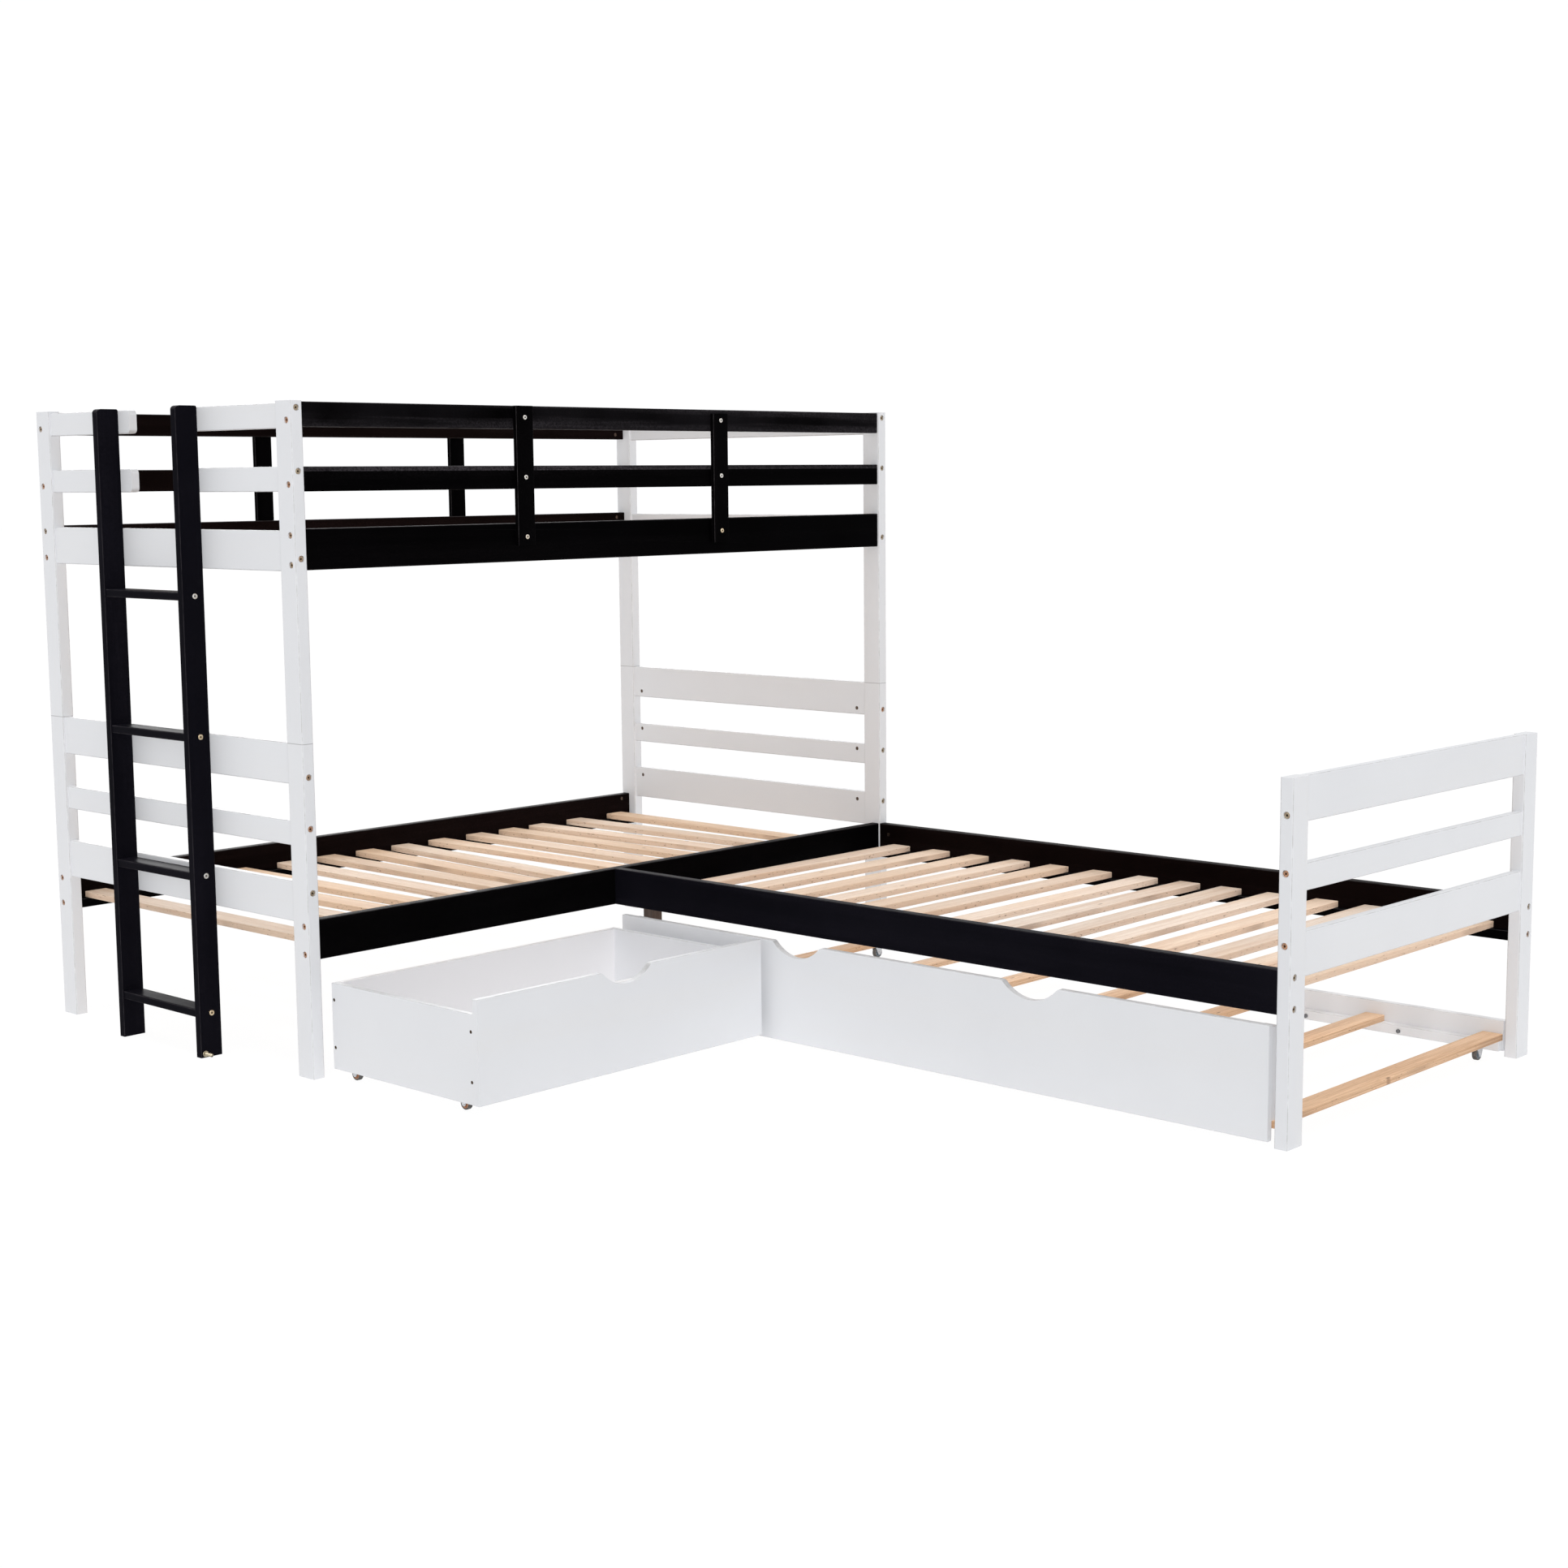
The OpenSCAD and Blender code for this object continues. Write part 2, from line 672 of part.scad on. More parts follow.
// The slats lie loose on the ledgers. How far each has slid along its row, in gaps between
// slats: at its back and front ends, in the third bed at its far and near ends. The last pair is
// the last slat's.
even = [[0, 0], [0, 0]];
bunk_slides = [[0, 0], [0.35, 0.7], [0.15, 0.55], [0.05, 0.2], [0.3, 0.05], [0.2, 0.1],
    [0.1, -0.45], [-0.1, -0.8], [-0.2, -0.1], [-0.2, -0.2], [-0.4, -0.2], [-0.7, -0.1],
    [-0.55, -0.25], [-0.2, -0.25]];
ext_slides = [[0, 0], [0, -0.1], [0, -0.2], [-0.05, -0.3], [-0.05, -0.35], [-0.05, -0.4],
    [-0.25, -0.25], [-0.35, -0.35], [-0.25, -0.15], [-0.2, -0.2], [-0.3, -0.3], [-0.25, -0.45],
    [-0.25, -0.3], [-0.15, -0.15]];

// Row of slats over a run along X, each l long
module slat_row(run, l, slides) {
    pitch = (run - slat_w) / (slat_n - 1);
    last = len(slides) - 1;
    for (k = [0:slat_n - 1]) {
        s = slat_stray * (pitch - slat_w) * slides[k == slat_n - 1 ? last : k % last];
        translate([slat_w / 2 + k * pitch + (s[0] + s[1]) / 2, l / 2, 0])
            rotate([0, 0, atan((s[1] - s[0]) / l)]) translate([-slat_w / 2, -l / 2, 0])
            board_y(l, slat_w, slat_t, 1.5);
    }
}

module bunk_slats(z, slides) {
    color(PINE) place() translate([post_t + slat_margin, side_in + slat_room, z])
        slat_row(bunk_l - 2 * post_t - 2 * slat_margin, bunk_w - 2 * side_in - 2 * slat_room, slides);
}
module upper_slats() { bunk_slats(upper_slat_z, even); }
module lower_slats() { bunk_slats(slat_z, bunk_slides); }

module extension_slats() {
    color(PINE) place() translate([ext_x + side_in + slat_room, ext_y1 + ext_margin, slat_z])
        mirror([1, -1, 0]) slat_row(ext_y0 - ext_y1 - 2 * ext_margin,
            ext_w - 2 * side_in - 2 * slat_room, ext_slides);
}

module support_leg() {
    color(DARK_WOOD) place() difference() {
        translate([leg_x, side_in, 0]) board_z(leg_s, leg_s, slat_z, 2);
        leg_bolt(true);
    }
}

// One bolt through the bunk's front rail holds the leg
module leg_bolt(hole) {
    translate([leg_x + leg_s / 2, set_back, bed_z + ledger / 2]) rotate([-90, 0, 0])
        if (hole) bolt_hole(side_t + leg_s / 2 - 4); else bolt(side_t + leg_s / 2 - 4);
}

// ---------- ladder ----------

module ladder_tie_holes(z) {
    for (y = stile_y) translate([end_in, y + stile_t / 2, z]) rotate([0, -90, 0]) {
        translate([0, 0, -1]) cylinder(d = 11, h = 4, $fn = 24);
        cylinder(d = bolt_d - 1 + 2 * hole_gap, h = end_t + 36, $fn = 20);
    }
}

module ladder_stiles() {
    color(BLACK) place() difference() {
        for (y = stile_y) translate([stile_x, y, 0]) intersection() {
            board_z(stile_w, stile_t, ladder_h, 2);
            translate([0, stile_t + 1, 0]) rotate([90, 0, 0]) linear_extrude(stile_t + 2)
                polygon(concat([[0, 0], [stile_w, 0]],
                    [for (a = [0:15:90]) [stile_w - stile_r / 2 + stile_r / 2 * cos(a),
                        ladder_h - stile_r / 2 + stile_r / 2 * sin(a)]],
                    [for (a = [90:15:180]) [stile_r + stile_r * cos(a),
                        ladder_h - stile_r + stile_r * sin(a)]]));
        }
        for (z = ladder_ties) ladder_tie_holes(z);
        rung_bolts(true);
        translate([pin_x, stile_y[0] - 1, pin_z]) rotate([-90, 0, 0])
            cylinder(d = pin_d + 2 * hole_gap, h = 17, $fn = 20);
    }
}

module ladder_rungs() {
    color(BLACK) place() difference() {
        for (k = [0:rung_n - 1])
            translate([rung_x, stile_y[0] + stile_t, rung_z - rung_t / 2 + k * rung_pitch])
                board_y(ladder_w - 2 * stile_t, rung_d, rung_t, 4);
        rung_bolts(true);
        rung_nuts(true);
    }
}

rung_bolt_x = stile_x + stile_w * 0.58;
module rung_bolts(hole) {
    for (k = [0:rung_n - 1], s = [0, 1])
        translate([rung_bolt_x, ladder_y + (s ? 1 : -1) * ladder_w / 2, rung_z + k * rung_pitch])
            rotate([s ? 90 : -90, 0, 0])
            if (hole) bolt_hole(stile_t + nut_in, head_h); else bolt(stile_t + nut_in, head_h);
}
module rung_nuts(hole) {
    for (k = [0:rung_n - 1], s = [0, 1])
        translate([rung_bolt_x, ladder_y + (s ? 1 : -1) * (ladder_w / 2 - stile_t - nut_in),
            rung_z + k * rung_pitch - rung_t / 2]) rotate([0, 0, 90])
            if (hole) nut_hole(rung_t - 3); else translate([0, 0, 0.5]) nut(rung_t - 4, rung_t / 2 - 0.5);
}

// Loose-fit locating pin low on the stile nearer the bunk's front
pin_x = stile_x + 11;
pin_z = 9;
pin_d = 8;
module ladder_foot_pin() {
    color(STEEL) place() translate([pin_x, stile_y[0], pin_z]) rotate([90, 0, 0]) {
        cylinder(d = pin_d * 1.8, h = 2, $fn = 32);
        translate([0, 0, -15]) cylinder(d = pin_d, h = 15 + 28, $fn = 24);
    }
}

// ---------- fasteners of the frame ----------

module frame_bolts() {
    color(BRONZE) place() {
        for (r = [false, true], b = [false, true]) corner(r, b) {
            end_bolts(concat(low_end_bolts, up_end_bolts));
            side_bolts(concat(bed_bolts, up_side_bolts));
        }
        for (far = [false, true]) foot(far) {
            end_bolts([for (z = low_end_bolts) z - foot_low]);
            side_bolts(bed_bolts);
        }
        near_rail_bolts(false);
        corner(true, false) far_rail_bolts(false);
        leg_bolt(false);
    }
}

module barrel_nuts() {
    color(STEEL) place() {
        for (r = [false, true], b = [false, true]) corner(r, b) {
            end_nuts(concat(low_end_bolts, up_end_bolts));
            side_nuts(concat(bed_bolts, up_side_bolts));
        }
        for (far = [false, true]) foot(far) {
            end_nuts([for (z = low_end_bolts) z - foot_low]);
            side_nuts(bed_bolts);
        }
        near_rail_nuts(false);
        corner(true, false) far_rail_nuts(false);
        rung_nuts(false);
    }
}

// Bolts of the battens, the rungs and the ladder's ties
module surface_bolts() {
    color(STEEL) place() {
        for (back = [false, true], z = batten_bolts, x = batten_x) corner(false, back)
            translate([x, set_back - batten_t, z]) rotate([-90, 0, 0]) {
                translate([0, 0, -2]) cylinder(d1 = head_d * 0.6, d2 = head_d * 0.85, h = 2, $fn = 24);
                translate([0, 0, -eps]) cylinder(d = bolt_d, h = batten_t + side_t - 5, $fn = 20);
            }
        rung_bolts(false);
        for (z = ladder_ties, y = stile_y)
            translate([end_in, y + stile_t / 2, z]) rotate([0, -90, 0]) {
                translate([0, 0, 0.5]) cylinder(d = 10, h = 2.5, $fn = 24);
                translate([0, 0, 1]) cylinder(d = bolt_d - 1, h = end_t + 33, $fn = 20);
            }
    }
}

// ---------- fronts with hand scoops ----------

// Board standing along X with scoops in its top edge, their middles at the distances given: an
// arc that runs out over a rounded shoulder at each side
module scooped(l, t, h, scoops) {
    w = scoop_w / 2;
    reach = (w * w + scoop_h * scoop_h) / (2 * scoop_h);    // from the arc's centre to a shoulder's
    r = reach - scoop_r;
    join = h - scoop_r * (1 - cos(asin(w / reach)));        // where the arc meets the shoulders
    difference() {
        board_x(l, t, h, 1.5);
        for (s = scoops) {
            translate([s, -1, h - scoop_h + r]) rotate([-90, 0, 0])
                cylinder(r = r, h = t + 2, $fn = 96);
            difference() {
                translate([s - w, -1, join]) cube([scoop_w, t + 2, h - join + 1]);
                for (e = [-w, w]) translate([s + e, -2, h - scoop_r]) rotate([-90, 0, 0])
                    cylinder(r = scoop_r, h = t + 4, $fn = 64);
            }
        }
    }
}

// ---------- casters ----------

// Fixed caster rolling along Y: plate and two cheeks with the axle riveted in.
// Its origin is the floor point under the wheel, its plate's top at z.
module caster(z) {
    in = wheel_w / 2 + 0.8;
    for (s = [-1, 1]) {
        translate([s > 0 ? in : -in - plate_t, 0, 0]) rotate([90, 0, 90]) linear_extrude(plate_t)
            polygon([[-14, z - plate_t + eps], [14, z - plate_t + eps],
                [6, wheel_d / 2 - 3], [3, wheel_d / 2 - 6], [-3, wheel_d / 2 - 6], [-6, wheel_d / 2 - 3]]);
    }
    translate([-9.5, -18, z - plate_t]) cube([19, 36, plate_t]);
    translate([-in - plate_t - 1, 0, wheel_d / 2]) rotate([0, 90, 0])
        cylinder(d = axle_d, h = 2 * in + 2 * plate_t + 2, $fn = 32);
}

// Wheel on the X axis through its middle: tread, hub and dished sides
module wheel() {
    r = wheel_d / 2;
    w = wheel_w / 2;
    a = axle_d / 2 + axle_gap;
    rotate([0, 90, 0]) rotate_extrude($fn = 64)
        polygon([[a, -w], [a + 2.5, -w], [a + 2.5, -w + 2.5], [r - 3, -w + 2.5], [r - 3, -w + 0.5],
            [r - 0.8, -w + 0.5], [r, -w + 1.5], [r, w - 1.5], [r - 0.8, w - 0.5], [r - 3, w - 0.5],
            [r - 3, w - 2.5], [a + 2.5, w - 2.5], [a + 2.5, w], [a, w]]);
}

// ---------- drawer ----------

module drawer_front() {
    color(WHITE) place() translate([drawer_x, drawer_y, drawer_z])
        scooped(drawer_l, drawer_t, drawer_front_h, [drawer_l / 2]);
}

// The bottom board's room in the grooves of the boards round it
module bottom_room(gap) {
    translate([drawer_x + drawer_t - groove_d - gap, drawer_y + 2 * drawer_t - groove_d - gap,
        bottom_z - gap])
        cube([drawer_l - 2 * drawer_t + 2 * groove_d + 2 * gap,
            drawer_d - 3 * drawer_t + 2 * groove_d + 2 * gap, drawer_bottom_t + 2 * gap]);
}

module drawer_sides() {
    color(WHITE) place() difference() {
        for (x = [drawer_x, drawer_x + drawer_l - drawer_t])
            translate([x, drawer_y + drawer_t, drawer_z])
                board_y(drawer_d - drawer_t, drawer_t, drawer_box_h, 1.5);
        bottom_room(0.2);
        screw_holes();
    }
}

module drawer_end_boards() {
    color(WHITE) place() difference() {
        for (y = [drawer_y + drawer_t, drawer_back - drawer_t])
            translate([drawer_x + drawer_t, y, drawer_z])
                board_x(drawer_l - 2 * drawer_t, drawer_t, drawer_box_h, 1.5);
        bottom_room(0.2);
        screw_holes();
    }
}

module drawer_bottom() { color(WHITE) place() bottom_room(0); }

module at_screws() {
    for (r = [false, true], y = [drawer_y + 1.5 * drawer_t, drawer_back - drawer_t / 2], z = drawer_bolts)
        translate([r ? drawer_x + drawer_l : drawer_x, y, z]) rotate([0, r ? -90 : 90, 0]) children();
}
module screw_holes() {
    at_screws() {
        translate([0, 0, -1]) cylinder(d = screw_head + 0.6, h = screw_sink + 1, $fn = 20);
        cylinder(d = screw_d + 0.4, h = screw_l + 2, $fn = 16);
    }
}
module drawer_screws() {
    color(BRONZE) place() at_screws() {
        translate([0, 0, 0.2]) cylinder(d = screw_head, h = screw_sink - 0.2, $fn = 20);
        translate([0, 0, 1]) cylinder(d = screw_d, h = screw_l - 1, $fn = 16);
    }
}

module drawer_casters() {
    color(STEEL) place() for (x = drawer_wheel_x, y = drawer_wheel_y)
        translate([x, y, 0]) caster(bottom_z);
}
module drawer_wheels(k) {
    color(TREAD) place() for (x = drawer_wheel_x)
        translate([x, drawer_wheel_y[k], wheel_d / 2]) wheel();
}
module drawer_wheels_front() { drawer_wheels(0); }
module drawer_wheels_back() { drawer_wheels(1); }

// ---------- trundle ----------

module trundle_panel() {
    l = trundle_l - panel_short;
    color(WHITE) place() translate([ext_x + panel_t, -trundle_gap - l, panel_z]) rotate([0, 0, 90])
        scooped(l, panel_t, panel_h, [l / 2 - scoop_off, l / 2 + scoop_off]);
}

module trundle_cleats() {
    color(WHITE) place() for (y = [t_row(0) - 18, t_row(trundle_n - 1) + 18 - cleat_w])
        translate([ext_x + panel_t, y, t_slat_z + slat_t]) board_z(cleat_t, cleat_w, cleat_h, 1);
}

module trundle_rear_rail() {
    color(WHITE) place() difference() {
        translate([rear_x, trundle_y, panel_z]) board_y(trundle_l, rear_t, rear_h, 1.5);
        trundle_bolt_holes();
    }
}

module trundle_ledgers() {
    color(WHITE) place() difference() {
        union() {
            translate([ext_x + panel_t, trundle_y + ledger_in, t_ledger_z])
                board_y(trundle_l - ledger_in - slide_gap, ledger, ledger, 1.5);
            translate([rear_x - ledger, trundle_y + slide_gap, t_ledger_z])
                board_y(trundle_l - 2 * slide_gap, ledger, ledger, 1.5);
        }
        trundle_bolt_holes();
    }
}

function t_row(k) = t_slat_y0 + trundle_slat_w / 2 + k * t_slat_pitch;

module trundle_slats() {
    color(PINE) place() for (k = [0:trundle_n - 1])
        translate([ext_x + panel_t + slide_gap, t_row(k) - trundle_slat_w / 2, t_slat_z])
            board_x(rear_x - ext_x - panel_t - 2 * slide_gap, trundle_slat_w, slat_t, 1.5);
}

module at_trundle_bolts() {
    for (y = [trundle_y + t_bolt_first:t_bolt_pitch:-trundle_gap - t_bolt_end])
        translate([0, y, t_ledger_z + ledger / 2 - 2]) rotate([0, 90, 0]) children();
}
module trundle_bolt_holes() {
    at_trundle_bolts() translate([0, 0, rear_x - ledger - 1])
        cylinder(d = bolt_d + 2 * hole_gap, h = ledger + rear_t - 4, $fn = 20);
}
module trundle_bolts() {
    color(STEEL) place() at_trundle_bolts() translate([0, 0, rear_x - ledger]) {
        translate([0, 0, -head_h]) cylinder(d = head_d * 0.85, h = head_h, $fn = 6);
        translate([0, 0, -eps]) cylinder(d = bolt_d, h = ledger + rear_t - 7, $fn = 20);
    }
}

module trundle_casters() {
    color(STEEL) place() for (x = trundle_wheel_x, k = caster_rows)
        translate([x, t_row(k), 0]) rotate([0, 0, 90]) caster(t_slat_z);
}
module trundle_wheels(i) {
    color(TREAD) place() for (k = caster_rows)
        translate([trundle_wheel_x[i], t_row(k), wheel_d / 2]) rotate([0, 0, 90]) wheel();
}
module trundle_wheels_front() { trundle_wheels(0); }
module trundle_wheels_rear() { trundle_wheels(1); }

// ---------- the nodes ----------

lower_post_front_left();
lower_post_back_left();
lower_post_front_right();
lower_post_back_right();
upper_post_front_left();
upper_post_back_left();
upper_post_front_right();
upper_post_back_right();
post_dowels();
lower_left_wide_rails();
lower_left_mid_rail();
lower_right_wide_rails();
lower_right_mid_rail();
entry_stub_rails();
upper_left_end_rail();
upper_right_guard_rails();
upper_right_end_rail();
footboard_posts();
footboard_wide_rails();
footboard_mid_rail();
front_guard_rails();
front_guard_battens();
back_guard_rails();
back_guard_battens();
upper_front_bed_rail();
upper_back_bed_rail();
lower_front_bed_rail();
lower_back_bed_rail();
extension_near_rail();
extension_far_rail();
bed_ledgers();
upper_slats();
lower_slats();
extension_slats();
support_leg();
ladder_stiles();
ladder_rungs();
ladder_foot_pin();
frame_bolts();
barrel_nuts();
surface_bolts();
drawer_front();
drawer_sides();
drawer_end_boards();
drawer_bottom();
drawer_screws();
drawer_casters();
drawer_wheels_front();
drawer_wheels_back();
trundle_panel();
trundle_cleats();
trundle_rear_rail();
trundle_ledgers();
trundle_slats();
trundle_bolts();
trundle_casters();
trundle_wheels_front();
trundle_wheels_rear();
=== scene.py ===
"""Looks of an L-shaped bunk bed with a third bed, a ladder, a drawer and a trundle.

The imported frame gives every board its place. This script gives each board its
finish, swaps the plain fasteners and wheels for detailed ones that sit in the
same places, and sets a pale studio and the camera round the bed.
"""

import json
import logging
import math
import random
from dataclasses import dataclass, replace
from enum import Enum
from functools import cache
from typing import Sequence

import bmesh
import bpy
from mathutils import Matrix, Vector

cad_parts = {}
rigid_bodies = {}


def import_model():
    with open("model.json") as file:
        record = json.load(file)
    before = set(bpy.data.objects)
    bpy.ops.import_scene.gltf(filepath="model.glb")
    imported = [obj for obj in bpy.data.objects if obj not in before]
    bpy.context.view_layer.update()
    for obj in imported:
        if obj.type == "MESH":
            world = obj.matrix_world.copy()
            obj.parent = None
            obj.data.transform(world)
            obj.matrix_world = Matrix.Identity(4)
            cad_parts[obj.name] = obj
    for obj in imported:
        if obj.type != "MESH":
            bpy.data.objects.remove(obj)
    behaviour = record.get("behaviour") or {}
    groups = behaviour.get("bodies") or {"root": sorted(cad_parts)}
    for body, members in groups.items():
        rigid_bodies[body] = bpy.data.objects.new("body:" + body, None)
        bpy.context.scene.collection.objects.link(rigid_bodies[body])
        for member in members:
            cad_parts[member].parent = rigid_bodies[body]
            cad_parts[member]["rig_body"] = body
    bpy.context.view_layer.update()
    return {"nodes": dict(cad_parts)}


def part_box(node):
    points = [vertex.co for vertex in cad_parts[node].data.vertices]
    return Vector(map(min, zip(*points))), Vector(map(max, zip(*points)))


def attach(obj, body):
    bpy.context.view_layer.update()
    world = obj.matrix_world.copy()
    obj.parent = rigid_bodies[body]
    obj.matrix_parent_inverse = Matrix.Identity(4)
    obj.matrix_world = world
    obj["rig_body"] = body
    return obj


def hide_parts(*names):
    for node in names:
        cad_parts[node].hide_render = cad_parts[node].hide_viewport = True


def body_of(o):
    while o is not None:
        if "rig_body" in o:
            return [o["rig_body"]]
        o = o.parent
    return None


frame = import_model()

LOG = logging.getLogger("bunk_bed")
MM = 0.001
Names = Sequence[str]
Triple = tuple[float, float, float]
Colour = Triple
Outline = Sequence[tuple[float, float]]
Socket = bpy.types.NodeSocket
Material = bpy.types.Material
Feed = Socket | float | Sequence[float]


class Grain(Enum):
    """The way the length of a board runs, as an index into a point."""

    ALONG_X = 0
    ALONG_Y = 1
    ALONG_Z = 2

    def clouds(self, across: float, along: float) -> Triple:
        """Counts the clouds in a metre of a noise that is drawn out along the board."""
        return tuple(along if k == self.value else across for k in range(3))


class Drive(Enum):
    """The recess in the head of a fastener."""

    HEX = "hex"
    CROSS = "cross"
    NONE = "none"


# ---------- materials ----------


@dataclass(frozen=True)
class Noise:
    """Cloudy noise that some feature of a finish follows.

    Its clouds are counted in a metre, the same all ways or along each axis. Its
    span is the noise that gives 0 and 1, and then what these two give instead.
    """

    clouds: float | Triple
    detail: float = 2.0
    rough: float = 0.5
    shift: Triple = (0.0, 0.0, 0.0)
    span: tuple[float, ...] | None = None


class Graph:
    """The node tree of a material or of the sky, built a step at a time."""

    def __init__(self, holder: Material | bpy.types.World) -> None:
        """Starts on the holder's own nodes."""
        holder.use_nodes = True
        self.tree = holder.node_tree

    def add(self, kind: str, inputs: dict[str | int, Feed],
            **settings: object) -> bpy.types.NodeOutputs:
        """Adds a node.

        Args:
            kind: Blender's name of the node type, after "ShaderNode".
            inputs: what each input is given, by its name or number.
            settings: the node's own properties.

        Returns:
            What the new node gives.
        """
        node = self.tree.nodes.new(f"ShaderNode{kind}")
        for key, value in settings.items():
            setattr(node, key, value)
        for key, value in inputs.items():
            self.feed(node.inputs[key], value)
        return node.outputs

    def feed(self, socket: Socket, value: Feed) -> None:
        """Links a socket to another one, or sets its value."""
        if isinstance(value, Socket):
            self.tree.links.new(value, socket)
        else:
            socket.default_value = value

    def maths(self, work: str, a: Feed, b: Feed = 0.0, clamp: bool = False) -> Socket:
        """Works out one sum of two numbers by its Blender name, held from 0 to 1 if asked."""
        return self.add("Math", {0: a, 1: b}, operation=work, use_clamp=clamp)[0]

    def times(self, a: Feed, b: Feed) -> Socket:
        """Multiplies two numbers."""
        return self.maths("MULTIPLY", a, b)

    def plus(self, a: Feed, b: Feed, clamp: bool = False) -> Socket:
        """Adds two numbers, held from 0 to 1 if asked."""
        return self.maths("ADD", a, b, clamp)

    def seen(self) -> Socket:
        """Gives 1 for what the camera sees, straight or in a gloss or glass."""
        path = self.add("LightPath", {})
        straight = self.plus(path["Is Camera Ray"], path["Is Glossy Ray"], clamp=True)
        return self.plus(straight, path["Is Transmission Ray"], clamp=True)

    @staticmethod
    def full(colour: Feed) -> Feed:
        """Gives a colour of three numbers its fourth, and leaves a socket."""
        return colour if isinstance(colour, Socket) else (*colour[:3], 1.0)


class Recipe(Graph):
    """One procedural material."""

    def __init__(self, name: str) -> None:
        """Starts a material around one Principled shader.

        Args:
            name: the material's name, in plain words.
        """
        self.material = bpy.data.materials.new(name)
        super().__init__(self.material)
        self.shader = self.tree.nodes["Principled BSDF"]
        self.point = self.add("TexCoord", {})["Object"]

    def parts(self, vector: Socket) -> Sequence[Socket]:
        """Takes a vector apart into its three numbers."""
        return self.add("SeparateXYZ", {0: vector})

    def held(self, name: str) -> Sequence[Socket]:
        """Reads the three numbers that the mesh holds under a name at its points."""
        told = self.add("Attribute", {}, attribute_name=name, attribute_type="GEOMETRY")
        return self.parts(told["Vector"])

    def stretch(self, vector: Feed, scale: Triple, shift: Triple = (0.0, 0.0, 0.0)) -> Socket:
        """Scales and shifts a point."""
        return self.add("Mapping", {"Vector": vector, "Location": shift, "Scale": scale})[0]

    def noise(self, layer: Noise, point: Socket | None = None) -> Socket:
        """Gives cloudy noise.

        Args:
            layer: what it is like.
            point: where it is read, if not at the piece's own points.

        Returns:
            The noise, about 0.5, or what its span makes of it.
        """
        even, point = isinstance(layer.clouds, float), point or self.point
        cloudy = self.add("TexNoise", {
            "Vector": point if even else self.stretch(point, layer.clouds, layer.shift),
            "Scale": layer.clouds if even else 1.0,
            "Detail": layer.detail, "Roughness": layer.rough})["Fac"]
        return self.span(cloudy, *layer.span) if layer.span else cloudy

    def span(self, value: Feed, low: float, high: float,
             to_low: float = 0.0, to_high: float = 1.0) -> Socket:
        """Turns the range from low to high into the one from to_low to to_high, held there."""
        inputs = {"Value": value, "From Min": low, "From Max": high,
                  "To Min": to_low, "To Max": to_high}
        return self.add("MapRange", inputs)["Result"]

    def blend(self, share: Feed, first: Feed, second: Feed) -> Socket:
        """Mixes two colours, of which the share is how much there is of the second."""
        feeds = {0: share, 6: self.full(first), 7: self.full(second)}
        return self.add("Mix", feeds, data_type="RGBA")[2]

    def layers(self, colour: Feed, *coats: tuple[Feed, Colour]) -> Feed:
        """Lays colours over one another.

        Args:
            colour: the colour underneath.
            coats: how much of each coat there is, and its colour, from below.

        Returns:
            The colour on top.
        """
        for share, coat in coats:
            colour = self.blend(share, colour, coat)
        return colour

    def relief(self, height: Feed, strength: float, depth: float,
               before: Feed | None = None) -> Socket:
        """Turns a height into a bumpy normal.

        Args:
            height: the height, from 0 to 1.
            strength: how much of it shows.
            depth: the height's real size in metres.
            before: a normal that it is added to.

        Returns:
            The normal.
        """
        inputs = {"Height": height, "Strength": strength, "Distance": depth}
        if before is not None:
            inputs["Normal"] = before
        return self.add("Bump", inputs)["Normal"]

    def facing(self) -> Sequence[Socket]:
        """Gives how much the surface faces along each axis, without its sign."""
        normal = self.add("NewGeometry", {})["Normal"]
        size = self.add("VectorMath", {0: normal}, operation="ABSOLUTE")[0]
        return self.parts(size)

    def edge(self) -> Socket:
        """Finds the rounded edges of square boards: 1 there and 0 on the flats."""
        facing = self.facing()
        most = self.maths("MAXIMUM", self.maths("MAXIMUM", facing[0], facing[1]), facing[2])
        return self.span(self.maths("SUBTRACT", 1.0, most), *EDGE_TURN)

    def finish(self, **sockets: Feed) -> Material:
        """Feeds the shader and hands over the material.

        Args:
            sockets: the shader's inputs, with _ for a space in their names.

        Returns:
            The material.
        """
        for name, value in sockets.items():
            socket = self.shader.inputs[name.replace("_", " ")]
            self.feed(socket, self.full(value) if socket.type == "RGBA" else value)
        return self.material


# how far the surface turns away from the axes on a rounded edge
EDGE_TURN = (0.012, 0.2)

# what sprayed paint shows, how much a face looks up, and the painted shadow of a hairline gap at
# the seam between stacked posts
SPRAY_CLOUDS = Noise(4.5, 3.0)
SPRAY_PEEL = Noise(700.0, 1.0)
HAZE_GRIT = Noise(210.0, 4.0, 0.85, span=(0.42, 0.6, 0.2, 1.0))
EDGE_WEAR_AND_LIGHT_PATCHES = Noise(34.0, 4.0, 0.7, span=(0.36, 0.62, 0.3, 1.0))
DUST_SPECKS = Noise(1500.0, 2.0, 0.7, span=(0.56, 0.72))
LOOKS_UP = (0.6, 0.95, 0.3, 1.0)
SEAM = (0.4 * MM, 1.2 * MM, 0.55, 0.0)
SEAM_SHADOW_TONE = (0.12, 0.11, 0.11)
WIPED_SHARE = 0.95


